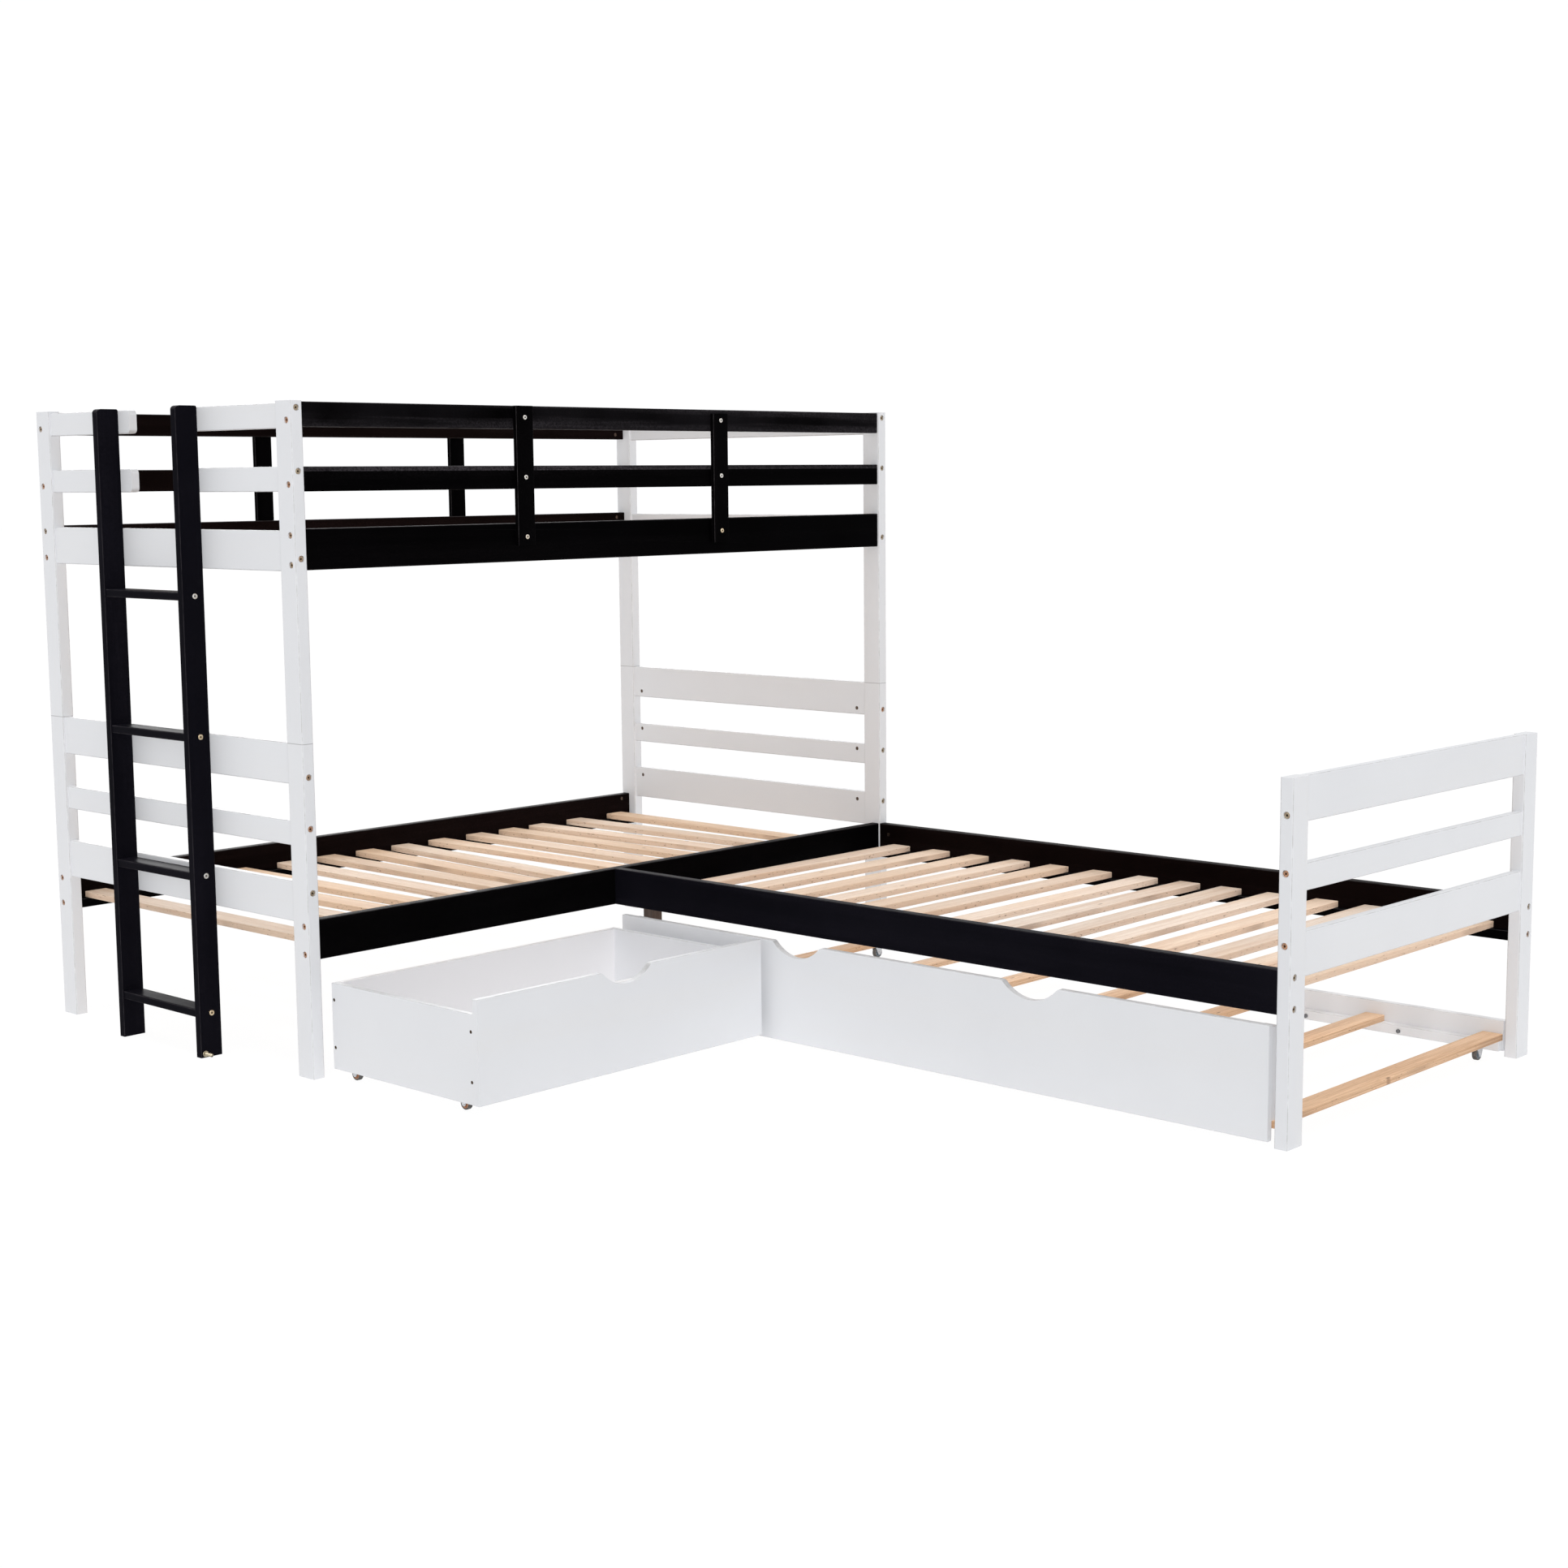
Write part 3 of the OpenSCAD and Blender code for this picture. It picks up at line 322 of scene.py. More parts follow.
@dataclass(frozen=True)
class SatinPaint:
    """Sprayed satin paint over planed pine: faint grain, dust, and rounded edges in a tone of their
    own, which on black paint is partly wear and partly a painted highlight. A post can also get a
    painted shadow at its seam.
    """

    name: str
    tone: Colour
    cloud: Colour
    haze: Colour
    edge_wear_and_light: Colour
    dust: Colour
    gloss: float
    specular: float
    edge_wear_and_light_share: float
    dusty: float
    seam: float | None = None
    wiped_below: float | None = None

    @cache
    def build(self, grain: Grain) -> Material:
        """Makes the paint for boards that run one way.

        Args:
            grain: the way the boards run.

        Returns:
            The material.
        """
        mix = Recipe(f"{self.name}_{grain.name.lower()}")
        fibres = mix.noise(Noise(grain.clouds(260.0, 9.0), 3.0, 0.6))
        clouds = mix.noise(SPRAY_CLOUDS)
        streaks = mix.noise(Noise(grain.clouds(13.0, 0.45), 4.0, 0.6, span=(0.44, 0.66)))
        haze = mix.times(streaks, mix.span(fibres, 0.3, 0.7, 0.4, 1.0))
        haze = mix.times(haze, mix.noise(HAZE_GRIT))
        # the edge tone on the rounded edges, broken up along them: on black paint it is lighter,
        # partly thin paint and partly a painted highlight; on white paint it gives darker lines
        edge_wear_and_light_mask = mix.times(mix.edge(), mix.times(mix.noise(EDGE_WEAR_AND_LIGHT_PATCHES), self.edge_wear_and_light_share))
        # specks of dust, more of them in patches and on faces that look up
        patches = Noise(grain.clouds(10.4, 0.36), 3.0, 0.6, span=(0.42, 0.7, 0.15, 1.0))
        specks = mix.times(mix.noise(DUST_SPECKS), mix.noise(patches))
        dust = mix.times(specks, mix.times(mix.span(mix.facing()[2], *LOOKS_UP), self.dusty))
        colour = mix.layers(self.tone, (mix.span(clouds, 0.3, 0.72), self.cloud), (haze, self.haze),
                            (edge_wear_and_light_mask, self.edge_wear_and_light), (dust, self.dust))

        height = mix.parts(mix.point)[2]
        if self.wiped_below is not None:
            wiped = mix.span(height, self.wiped_below, self.wiped_below + MM, WIPED_SHARE, 0.0)
            colour = mix.blend(wiped, colour, self.tone)
        if self.seam is not None:
            # a thin dark line at the seam's height: a painted shadow of the hairline gap between
            # the stacked posts
            away = mix.maths("ABSOLUTE", mix.maths("SUBTRACT", height, self.seam))
            colour = mix.blend(mix.span(away, *SEAM), colour, SEAM_SHADOW_TONE)

        rough = mix.plus(mix.span(clouds, 0.3, 0.75, self.gloss, self.gloss + 0.1),
                         mix.span(fibres, 0.3, 0.7, -0.03, 0.05))
        rough = mix.plus(rough, mix.times(dust, 0.4), clamp=True)
        normal = mix.relief(fibres, 0.1, 0.15 * MM)
        normal = mix.relief(mix.noise(SPRAY_PEEL), 0.1, 0.05 * MM, normal)
        return mix.finish(Base_Color=colour, Roughness=rough, Normal=normal,
                          Specular_IOR_Level=self.specular)


# what bare timber shows, in the board's own terms: across, along and up
FIBRES = Noise((290.0, 6.0, 290.0), 4.0, 0.75)
STREAKS = Noise((70.0, 1.3, 70.0), 3.0, 0.6)
PORES = Noise((900.0, 34.0, 900.0), 1.0, span=(0.64, 0.72))
BANDS = Noise((24.0, 0.8, 24.0), shift=(0.3, 4.1, 0.9), span=(0.56, 0.72))
WARM_PATCHES = Noise((13.0, 2.4, 13.0), shift=(2.6, 0.7, 5.2), span=(0.5, 0.72, 0.0, 0.65))
BENDS = Noise((7.0, 1.1, 7.0))
END_GRIT = Noise((420.0, 420.0, 420.0), span=(0.35, 0.65, 0.12, 0.5))
SAW_LINES = Noise((5.0, 2.2, 520.0), 3.0, 0.6, span=(0.38, 0.66, 0.15, 0.85))
SAW_STAINS = Noise((3.0, 4.2, 3.0), 1.0, span=(0.6, 0.72, 0.0, 0.4))
SAW_SPECKS = Noise((330.0, 80.0, 330.0), 1.0, span=(0.66, 0.74, 0.0, 0.7))
# how much of the dark tone lies over every sawn side: painted shade
SAW_SIDE_PAINTED_SHADE = 0.04
RING_STRETCH = (1.0, 0.05, 1.0)
# one place in each cell may hold a knot: how far its swirl and its heart reach
KNOT_CELLS = (11.0, 3.1, 1.0)
KNOT_SWIRL = (0.02, 0.16, 1.0, 0.0)
KNOT_HEART = (0.012, 0.036, 1.0, 0.0)
# how far the cuts of two boards may lie apart in the tree, and the lot of a board without one
HEART_OFF = 0.045
CUT_ALONG = 9.0
CUT_UP = 0.7
PLAIN_LOT = (0.4, 0.55, 0.3)


@dataclass(frozen=True)
class BareTimber:
    """Planed timber with rings, fibres, streaks, knots and end grain."""

    name: str
    pale: Colour
    deep: Colour
    warm: Colour
    streak: Colour
    knot: Colour
    rings: float
    rough: float
    knots: float

    @cache
    def build(self, grain: Grain, label: str, loose: bool = False) -> Material:
        """Makes the timber for boards that run one way.

        Args:
            grain: the way the boards run.
            label: what the boards are, for the material's name.
            loose: whether each board holds its own points and its lot.

        Returns:
            The material.
        """
        mix = Recipe(f"{self.name}_{label}")
        if loose:
            (across, along, up), lot = mix.held("spot"), mix.held("lot")
        else:
            parts = mix.parts(mix.point)
            across, along, up = (parts[(grain.value + k) % 3] for k in (1, 0, 2))
            lot = PLAIN_LOT
        # the point in the tree that the board was cut from, whose heart runs below it
        spot = mix.add("CombineXYZ", {
            0: mix.plus(across, mix.span(lot[0], 0, 1, -HEART_OFF, HEART_OFF)),
            1: mix.plus(along, mix.times(lot[1], CUT_ALONG)),
            2: mix.plus(up, mix.times(lot[2], CUT_UP)),
        })[0]

        cells = mix.add("TexVoronoi", {"Vector": mix.stretch(spot, KNOT_CELLS), "Scale": 1.0},
                        voronoi_dimensions="2D")
        chance = mix.add("SeparateColor", {0: cells["Color"]})[0]
        present = mix.span(chance, 1 - self.knots, 1.001 - self.knots)
        near = mix.times(mix.span(cells["Distance"], *KNOT_SWIRL), present)
        heart = mix.times(mix.span(cells["Distance"], *KNOT_HEART), present)
        bend = mix.plus(mix.times(near, 5.0), mix.times(mix.noise(BENDS, spot), 9.0))
        rings = mix.add("TexWave", {
            "Vector": mix.stretch(spot, RING_STRETCH), "Scale": self.rings, "Distortion": 2.2,
            "Detail": 2.0, "Detail Scale": 1.6, "Phase Offset": bend,
        }, wave_type="RINGS", rings_direction="Y", wave_profile="SAW")["Fac"]

        fibres, streaks = mix.noise(FIBRES, spot), mix.noise(STREAKS, spot)
        late = mix.times(mix.span(rings, 0.35, 1.0), mix.span(streaks, 0.3, 0.7, 0.25, 1.0))
        colour = mix.layers(
            self.pale,
            (mix.span(lot[1], 0.3, 0.95), self.warm),
            (mix.times(late, 0.5), self.deep),
            (mix.times(mix.noise(BANDS, spot), 0.55), self.streak),
            (mix.noise(WARM_PATCHES, spot), self.warm),
            (mix.span(streaks, 0.5, 0.72, 0.0, 0.4), self.deep),
            (mix.span(fibres, 0.42, 0.62, 0.0, 0.5), self.deep),
            (mix.times(mix.noise(PORES, spot), 0.34), self.knot),
            (mix.times(near, 0.3), self.warm),
            (mix.times(heart, 0.85), self.knot))
        shade = mix.span(lot[2], 0, 1, 0.93, 1.1)
        colour = mix.add("VectorMath", {0: colour, 3: shade}, operation="SCALE")[0]

        facing = mix.facing()
        end = mix.span(facing[grain.value], 0.6, 0.8)
        colour = mix.blend(mix.times(end, mix.noise(END_GRIT, spot)), colour, self.deep)
        if loose:
            # the sawn sides are browner, with fine lines, stains and specks along them, and each
            # whole side is a little darker as painted shade between the slats
            side = mix.span(facing[2], 0.2, 0.6, 1, 0)
            colour = mix.layers(
                colour,
                (mix.times(side, mix.noise(SAW_LINES, spot)), self.deep),
                (mix.times(side, mix.plus(mix.noise(SAW_STAINS, spot), SAW_SIDE_PAINTED_SHADE)), self.knot),
                (mix.times(side, mix.noise(SAW_SPECKS, spot)), self.knot))
        rough = mix.plus(mix.span(fibres, 0.3, 0.7, self.rough - 0.08, self.rough + 0.1),
                         mix.times(end, 0.12), clamp=True)
        normal = mix.relief(fibres, 0.3, 0.2 * MM)
        normal = mix.relief(late, 0.2, 0.3 * MM, normal)
        return mix.finish(Base_Color=colour, Roughness=rough, Normal=normal,
                          Specular_IOR_Level=0.3)


PATINA_SPOTS = Noise(420.0, 4.0, 0.65)
SCRATCHES = Noise((2600.0, 300.0, 300.0))
# where a recess lies in a head's face: how far from its middle, and how deep
RECESS_WIDE = (2.4 * MM, 2.7 * MM, 1.0, 0.0)
RECESS_DEEP = (-1.3 * MM, -0.2 * MM, 1.0, 0.0)
GRIME_AND_SHADE_SHARE = 0.85
GRIME_AND_SHADE_TONE = (0.012, 0.009, 0.008)


@dataclass(frozen=True)
class Metal:
    """Plated steel in two tones with a patina, fine scratches and a recess darkened by grime and by
    painted shade.
    """

    name: str
    tone: Colour
    other: Colour
    patina: Colour
    rough: float

    @cache
    def build(self) -> Material:
        """Makes the metal.

        Returns:
            The material.
        """
        mix = Recipe(self.name)
        spots, scratches = mix.noise(PATINA_SPOTS), mix.noise(SCRATCHES)
        x, y, z = mix.held("spot")
        wide = mix.maths("SQRT", mix.plus(mix.times(x, x), mix.times(y, y)))
        # the recess in the head is darkened: grime, and painted shade in the hollow
        grime_and_shade = mix.times(mix.span(wide, *RECESS_WIDE), mix.span(z, *RECESS_DEEP))
        colour = mix.layers(self.tone, (mix.span(mix.held("lot")[0], 0.4, 0.6), self.other),
                            (mix.span(spots, 0.36, 0.68), self.patina),
                            (mix.times(grime_and_shade, GRIME_AND_SHADE_SHARE), GRIME_AND_SHADE_TONE))
        rough = mix.plus(mix.span(spots, 0.3, 0.7, self.rough - 0.06, self.rough + 0.12),
                         mix.span(scratches, 0.3, 0.7, -0.04, 0.06), clamp=True)
        normal = mix.relief(scratches, 0.2, 0.05 * MM)
        return mix.finish(Base_Color=colour, Roughness=rough, Normal=normal, Metallic=1.0)


SCUFFS = Noise(260.0, 4.0, 0.7)
MOULD_GRIT = Noise(1800.0)


@dataclass(frozen=True)
class Moulded:
    """Moulded plastic or rubber with scuffs and dust from the floor."""

    name: str
    tone: Colour
    dust: Colour
    rough: float
    dusty: float

    @cache
    def build(self) -> Material:
        """Makes the moulded stuff.

        Returns:
            The material.
        """
        mix = Recipe(self.name)
        dust = mix.span(mix.noise(SCUFFS), 0.42, 0.7, 0.0, self.dusty)
        colour = mix.blend(dust, self.tone, self.dust)
        rough = mix.plus(mix.times(dust, 0.3), self.rough, clamp=True)
        normal = mix.relief(mix.noise(MOULD_GRIT), 0.3, 0.08 * MM)
        return mix.finish(Base_Color=colour, Roughness=rough, Normal=normal)


WHITE_PAINT = SatinPaint(
    "white_satin", tone=(0.672, 0.68, 0.7), cloud=(0.655, 0.663, 0.685), haze=(0.665, 0.665, 0.674),
    edge_wear_and_light=(0.36, 0.356, 0.354), dust=(0.5, 0.49, 0.48),
    gloss=0.36, specular=0.4, edge_wear_and_light_share=0.85, dusty=0.1)
POST_PAINT = replace(WHITE_PAINT, name="white_satin_posts",
                     seam=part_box("lower_post_front_left")[1].z)
# a paler copy of the white paint for the drawer's bottom and end boards: painted light that lifts
# the shade inside the drawer
PAINTED_LIGHT_WHITE_PAINT = replace(WHITE_PAINT, name="white_satin_painted_light", tone=(0.765, 0.758, 0.77),
                      cloud=(0.745, 0.738, 0.75), haze=(0.76, 0.753, 0.762))
# its lighter edge tone is partly wear and partly a painted highlight along the rounded edges
BLACK_PAINT = SatinPaint(
    "black_satin", tone=(0.0003, 0.0002, 0.0003), cloud=(0.001, 0.0009, 0.0012),
    haze=(0.0025, 0.002, 0.0023), edge_wear_and_light=(0.05, 0.046, 0.048), dust=(0.075, 0.068, 0.072),
    gloss=0.3, specular=0.006, edge_wear_and_light_share=0.9, dusty=0.7)
DUSTY_BLACK_PAINT = replace(
    BLACK_PAINT, name="dusty_black_satin", cloud=(0.0055, 0.005, 0.006), haze=(0.066, 0.059, 0.067),
    dust=(0.16, 0.15, 0.16), dusty=1.0, wiped_below=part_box("front_guard_rails")[1].z - 150 * MM)
# a warm brown copy of the black paint for the back rails and the third bed's far rail: the brown is
# a painted reflection of the bare slats
PAINTED_REFLECTION_BLACK_PAINT = replace(BLACK_PAINT, name="black_satin_painted_reflection", tone=(0.0025, 0.0013, 0.0012),
                            cloud=(0.005, 0.0028, 0.0026), haze=(0.014, 0.008, 0.008))
# a lighter, bluish copy of the black paint for the ladder and the third bed's near rail, with
# little gloss: its bluish colours are a painted sheen
PAINTED_SHEEN_BLACK_PAINT = replace(
    BLACK_PAINT, name="black_satin_painted_sheen", tone=(0.0032, 0.003, 0.0048),
    cloud=(0.0048, 0.0045, 0.0069), haze=(0.0085, 0.0078, 0.0115), edge_wear_and_light=(0.034, 0.031, 0.035),
    dust=(0.022, 0.021, 0.024), specular=0.008)
PINE = BareTimber(
    "bare_pine", pale=(0.81, 0.685, 0.58), deep=(0.63, 0.45, 0.33), warm=(0.775, 0.585, 0.425),
    streak=(0.6, 0.36, 0.21), knot=(0.15, 0.085, 0.055), rings=6.0, rough=0.6, knots=0.25)
# a darker, warmer copy of the pine for the lower bed's slats: painted shade from the upper bed
PAINTED_SHADE_PINE = replace(PINE, name="pine_painted_shade", pale=(0.77, 0.63, 0.505), deep=(0.58, 0.4, 0.28),
                    warm=(0.73, 0.53, 0.36))
WARM_PINE = replace(PINE, name="warm_pine", pale=(0.82, 0.635, 0.47), deep=(0.46, 0.27, 0.15),
                    warm=(0.77, 0.52, 0.33))
STAINED = BareTimber(
    "dark_stained_pine", pale=(0.085, 0.058, 0.046), deep=(0.025, 0.016, 0.012),
    warm=(0.06, 0.036, 0.026), streak=(0.03, 0.018, 0.013), knot=(0.008, 0.006, 0.005),
    rings=9.0, rough=0.5, knots=0.3)
BRONZE = Metal("antique_bronze_steel", tone=(0.46, 0.4, 0.29), other=(0.62, 0.34, 0.21),
               patina=(0.24, 0.15, 0.1), rough=0.34)
DARK_BRONZE = Metal("dark_bronze_steel", tone=(0.11, 0.07, 0.05), other=(0.15, 0.1, 0.06),
                    patina=(0.045, 0.03, 0.022), rough=0.4)
ZINC = Metal("zinc_plated_steel", tone=(0.66, 0.67, 0.69), other=(0.62, 0.63, 0.65),
             patina=(0.42, 0.43, 0.45), rough=0.3)
DULL_ZINC = replace(ZINC, name="dull_zinc_steel", tone=(0.24, 0.24, 0.25), patina=(0.1, 0.1, 0.1))
BRASS = Metal("yellow_zinc_steel", tone=(0.8, 0.8, 0.8), other=(0.78, 0.6, 0.36),
              patina=(0.56, 0.5, 0.4), rough=0.28)
DULL_BRASS = replace(BRASS, name="dull_yellow_zinc_steel", tone=(0.5, 0.45, 0.34),
                     patina=(0.24, 0.2, 0.14), rough=0.36)
NUT_STEEL = Metal("browned_steel", tone=(0.16, 0.11, 0.085), other=(0.2, 0.14, 0.1),
                  patina=(0.07, 0.05, 0.04), rough=0.4)
RUBBER = Moulded("tyre_rubber", tone=(0.045, 0.043, 0.042), dust=(0.3, 0.28, 0.26),
                 rough=0.6, dusty=0.35)
BROWN_HUB = Moulded("brown_hub_plastic", tone=(0.34, 0.15, 0.07), dust=(0.5, 0.42, 0.36),
                    rough=0.42, dusty=0.25)
SLATE_HUB = Moulded("slate_hub_plastic", tone=(0.13, 0.16, 0.19), dust=(0.4, 0.42, 0.44),
                    rough=0.42, dusty=0.25)


# ---------- meshes ----------

# points nearer than this are one, and points this near a head's face are on it
SAME_POINT = 1e-6
ON_FACE = 0.3 * MM
# an edge between faces that meet at more than this stays sharp
SHARP = math.radians(32)


def mesh_of(work: bmesh.types.BMesh, name: str) -> bpy.types.Mesh:
    """Turns a finished bmesh into a mesh and frees it.

    Args:
        work: the bmesh, which is used up.
        name: the mesh's name.

    Returns:
        The mesh.
    """
    mesh = bpy.data.meshes.new(name)
    work.to_mesh(mesh)
    work.free()
    return mesh


def ease(work: bmesh.types.BMesh, edges: Sequence[bmesh.types.BMEdge], offset: float,
         segments: int) -> None:
    """Rounds edges, or chamfers them with one segment."""
    bmesh.ops.bevel(work, geom=edges, offset=offset, segments=segments, profile=0.5,
                    affect="EDGES", material=-1)


def place_in_scene(name: str, data: bpy.types.ID) -> bpy.types.Object:
    """Makes an object from its data and links it to the scene.

    Args:
        name: the object's name.
        data: its mesh, lamp or camera.

    Returns:
        The object, at the origin.
    """
    thing = bpy.data.objects.new(name, data)
    bpy.context.scene.collection.objects.link(thing)
    return thing


@dataclass(frozen=True)
class Solid:
    """One of a node's separate solids: its lowest and highest corners and its points."""

    low: Vector
    high: Vector
    points: Sequence[Vector]

    def middle(self) -> Vector:
        """Gives the middle of its box."""
        return (self.low + self.high) / 2


def solids_of(node: str) -> list[Solid]:
    """Finds the separate solids of a CAD node.

    Args:
        node: the node's name.

    Returns:
        The solids.
    """
    work = bmesh.new()
    work.from_mesh(frame["nodes"][node].data)
    bmesh.ops.remove_doubles(work, verts=work.verts, dist=SAME_POINT)
    found, seen = [], set()
    for first in work.verts:
        if first in seen:
            continue
        seen.add(first)
        queue, points = [first], []
        while queue:
            vert = queue.pop()
            points.append(vert.co.copy())
            for edge in vert.link_edges:
                other = edge.other_vert(vert)
                if other not in seen:
                    seen.add(other)
                    queue.append(other)
        low, high = (Vector([pick(p[k] for p in points) for k in range(3)])
                     for pick in (min, max))
        found.append(Solid(low, high, points))
    work.free()
    return found


@dataclass(frozen=True)
class Place:
    """Where a fastener sits: the middle of its head's face, and the way it looks."""

    face: Vector
    out: Vector
    reach: float
    radius: float

    @classmethod
    def along(cls, solid: Solid) -> "Place":
        """Finds a fastener's place.

        Args:
            solid: its CAD solid, whose wider end is the head.

        Returns:
            The place.
        """
        size, face, out = solid.high - solid.low, solid.middle(), Vector((0, 0, 0))
        axis = max(range(3), key=lambda k: size[k])
        across = [k for k in range(3) if k != axis]
        ends = solid.low[axis], solid.high[axis]
        widths = [max(math.dist([p[k] for k in across], [face[k] for k in across])
                      for p in solid.points if abs(p[axis] - end) < ON_FACE) for end in ends]
        top = 0 if widths[0] > widths[1] else 1
        face[axis], out[axis] = ends[top], 2.0 * top - 1.0
        return cls(face, out, size[axis], max(size[k] for k in across) / 2)

    def matrix(self) -> Matrix:
        """Turns a fastener that looks up from the origin into this place."""
        turn = Vector((0, 0, 1)).rotation_difference(self.out).to_matrix().to_4x4()
        return Matrix.Translation(self.face) @ turn


@dataclass(frozen=True)
class Fastener:
    """A bolt, screw or rivet, its head's face at the origin and looking up.

    The recess is as wide and as deep as its shares of the head's radius and height.
    """

    head: float
    crown: float
    shank: float
    drive: Drive
    across: float = 0.5
    depth: float = 0.6
    sides: int = 24
    shank_sides: int = 16
    # the ring of points that becomes the recess, the cross's arms and the recess's walls
    ring: float = 0.45
    arm: float = 0.3
    waist: float = 0.38
    wall: float = 0.02

    def mesh(self, place: Place) -> bpy.types.Mesh:
        """Builds the fastener for a place.

        Args:
            place: the place, which says how wide its head is and how far it reaches.

        Returns:
            The mesh.
        """
        work, radius, reach = bmesh.new(), place.radius, place.reach
        bmesh.ops.create_cone(work, cap_ends=True, segments=self.sides, radius1=radius,
                              radius2=radius, depth=self.head,
                              matrix=Matrix.Translation((0, 0, -self.head / 2)))
        rim = [e for e in work.edges if all(abs(v.co.z) < SAME_POINT for v in e.verts)]
        ease(work, rim, self.crown, 3)
        if self.drive is not Drive.NONE:
            self.recess(work, radius)
        if reach > self.head:
            long = reach - self.head
            bmesh.ops.create_cone(work, cap_ends=True, segments=self.shank_sides,
                                  radius1=self.shank, radius2=self.shank, depth=long,
                                  matrix=Matrix.Translation((0, 0, -self.head - long / 2)))
        return mesh_of(work, "fastener")

    def recess(self, work: bmesh.types.BMesh, radius: float) -> None:
        """Sinks the hexagon or the cross into the head's face.

        Args:
            work: the mesh with the head.
            radius: the head's radius.
        """
        top = max(work.faces, key=lambda f: (round(f.calc_center_median().z, 6), f.calc_area()))
        flat = min(v.co.xy.length for v in top.verts)
        bmesh.ops.inset_individual(work, faces=[top], thickness=flat * self.ring, depth=0.0)
        for vert in top.verts:
            angle = math.atan2(vert.co.y, vert.co.x)
            if self.drive is Drive.HEX:
                wide = math.cos((angle + math.pi / 6) % (math.pi / 3) - math.pi / 6)
                size = self.across * radius / wide
            else:
                turn = abs((angle + math.pi / 4) % (math.pi / 2) - math.pi / 4)
                size = radius * self.across * (1.0 if turn < self.arm else self.waist)
            vert.co.xy = Vector((math.cos(angle), math.sin(angle))) * size
        bmesh.ops.inset_individual(work, faces=[top], thickness=radius * self.wall,
                                   depth=-self.depth * self.head)


class Builder:
    """One new piece, gathered from parts in one mesh."""

    held = ("spot", "lot")
    long_edge = 1.5 * MM
    end_edge = 0.5 * MM

    def __init__(self, name: str) -> None:
        """Starts an empty piece.

        Args:
            name: the piece's name.
        """
        self.name = name
        self.work = bmesh.new()
        for layer in self.held:
            self.work.verts.layers.float_vector.new(layer)

    def put(self, mesh: bpy.types.Mesh, matrix: Matrix,
            lot: Sequence[float] = (0.0, 0.0, 0.0)) -> None:
        """Adds a mesh in its place. Each of its points keeps where it was before.

        Args:
            mesh: the mesh, which is used up.
            matrix: where it goes.
            lot: three numbers from 0 to 1, by which its finish differs from the next one's.
        """
        count = len(self.work.verts)
        self.work.from_mesh(mesh)
        bpy.data.meshes.remove(mesh)
        self.work.verts.ensure_lookup_table()
        spot, lots = (self.work.verts.layers.float_vector[layer] for layer in self.held)
        added = self.work.verts[count:]
        for vert in added:
            vert[spot], vert[lots] = vert.co, lot
        bmesh.ops.transform(self.work, matrix=matrix, verts=added)

    def turned(self, profile: Outline, matrix: Matrix, steps: int = 48) -> None:
        """Adds a ring turned about the X axis.

        Args:
            profile: the closed outline, as distances along X and from X, in mm.
            matrix: where the ring goes.
            steps: how many facets it has.
        """
        ring = bmesh.new()
        verts = [ring.verts.new((x * MM, 0, r * MM)) for x, r in profile]
        edges = [ring.edges.new((verts[k - 1], verts[k])) for k in range(len(verts))]
        bmesh.ops.spin(ring, geom=verts + edges, cent=(0, 0, 0), axis=(1, 0, 0),
                       angle=math.tau, steps=steps, use_merge=True)
        bmesh.ops.remove_doubles(ring, verts=ring.verts, dist=SAME_POINT)
        bmesh.ops.recalc_face_normals(ring, faces=ring.faces)
        self.put(mesh_of(ring, "ring"), matrix)

    def board(self, size: Sequence[float], matrix: Matrix, lot: Sequence[float]) -> None:
        """Adds a board that lies along Y, its long edges rounded and its sawn ends eased.

        Args:
            size: its width, length and thickness in metres.
            matrix: where its middle goes.
            lot: three numbers from 0 to 1, by which its timber differs from the next one's.
        """
        plank = bmesh.new()
        bmesh.ops.create_cube(plank, size=1.0, matrix=Matrix.Diagonal((*size, 1.0)))
        half = size[1] / 2
        for offset, segments, long in ((self.long_edge, 3, True), (self.end_edge, 1, False)):
            edges = [e for e in plank.edges
                     if (abs(e.verts[0].co.y - e.verts[1].co.y) > half) == long
                     and (long or abs(abs(e.verts[0].co.y) - half) < SAME_POINT)]
            ease(plank, edges, offset, segments)
        self.put(mesh_of(plank, "board"), matrix, lot)

    def box(self, size: Sequence[float], matrix: Matrix, edge: float = 0.3) -> None:
        """Adds a block with softened edges.

        Args:
            size: its three sizes in mm.
            matrix: where its middle goes.
            edge: the size of its softened edges in mm.
        """
        block = bmesh.new()
        scale = Matrix.Diagonal((*[s * MM for s in size], 1.0))
        bmesh.ops.create_cube(block, size=1.0, matrix=scale)
        ease(block, block.edges[:], edge * MM, 2)
        self.put(mesh_of(block, "block"), matrix)

    def done(self, material: Material, slot: str, *nodes: str, body: str = "") -> None:
        """Finishes the piece and hangs it on its body.

        Args:
            material: its finish.
            slot: the record's material slot; not used.
            nodes: the CAD nodes that it stands for.
            body: the CAD body that it rides on, if it isn't its first node's.
        """
        mesh = mesh_of(self.work, self.name)
        mesh.materials.append(material)
        mesh.shade_smooth()
        mesh.set_sharp_from_angle(angle=SHARP)
        piece = place_in_scene(self.name, mesh)
        body = body or body_of(frame["nodes"][nodes[0]])[0]
        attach(piece, body)
        if nodes:
            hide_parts(*nodes)
        LOG.info("piece %s: %d faces on %s", self.name, len(mesh.polygons), body)


def dress(nodes: Names, material: Material) -> None:
    """Gives CAD nodes their material.

    Args:
        nodes: the names of the nodes.
        material: the material they get.
    """
    for name in nodes:
        for slot in frame["nodes"][name].material_slots:
            slot.material = material
        LOG.info("node %s: %s", name, material.name)


# ---------- the bed ----------


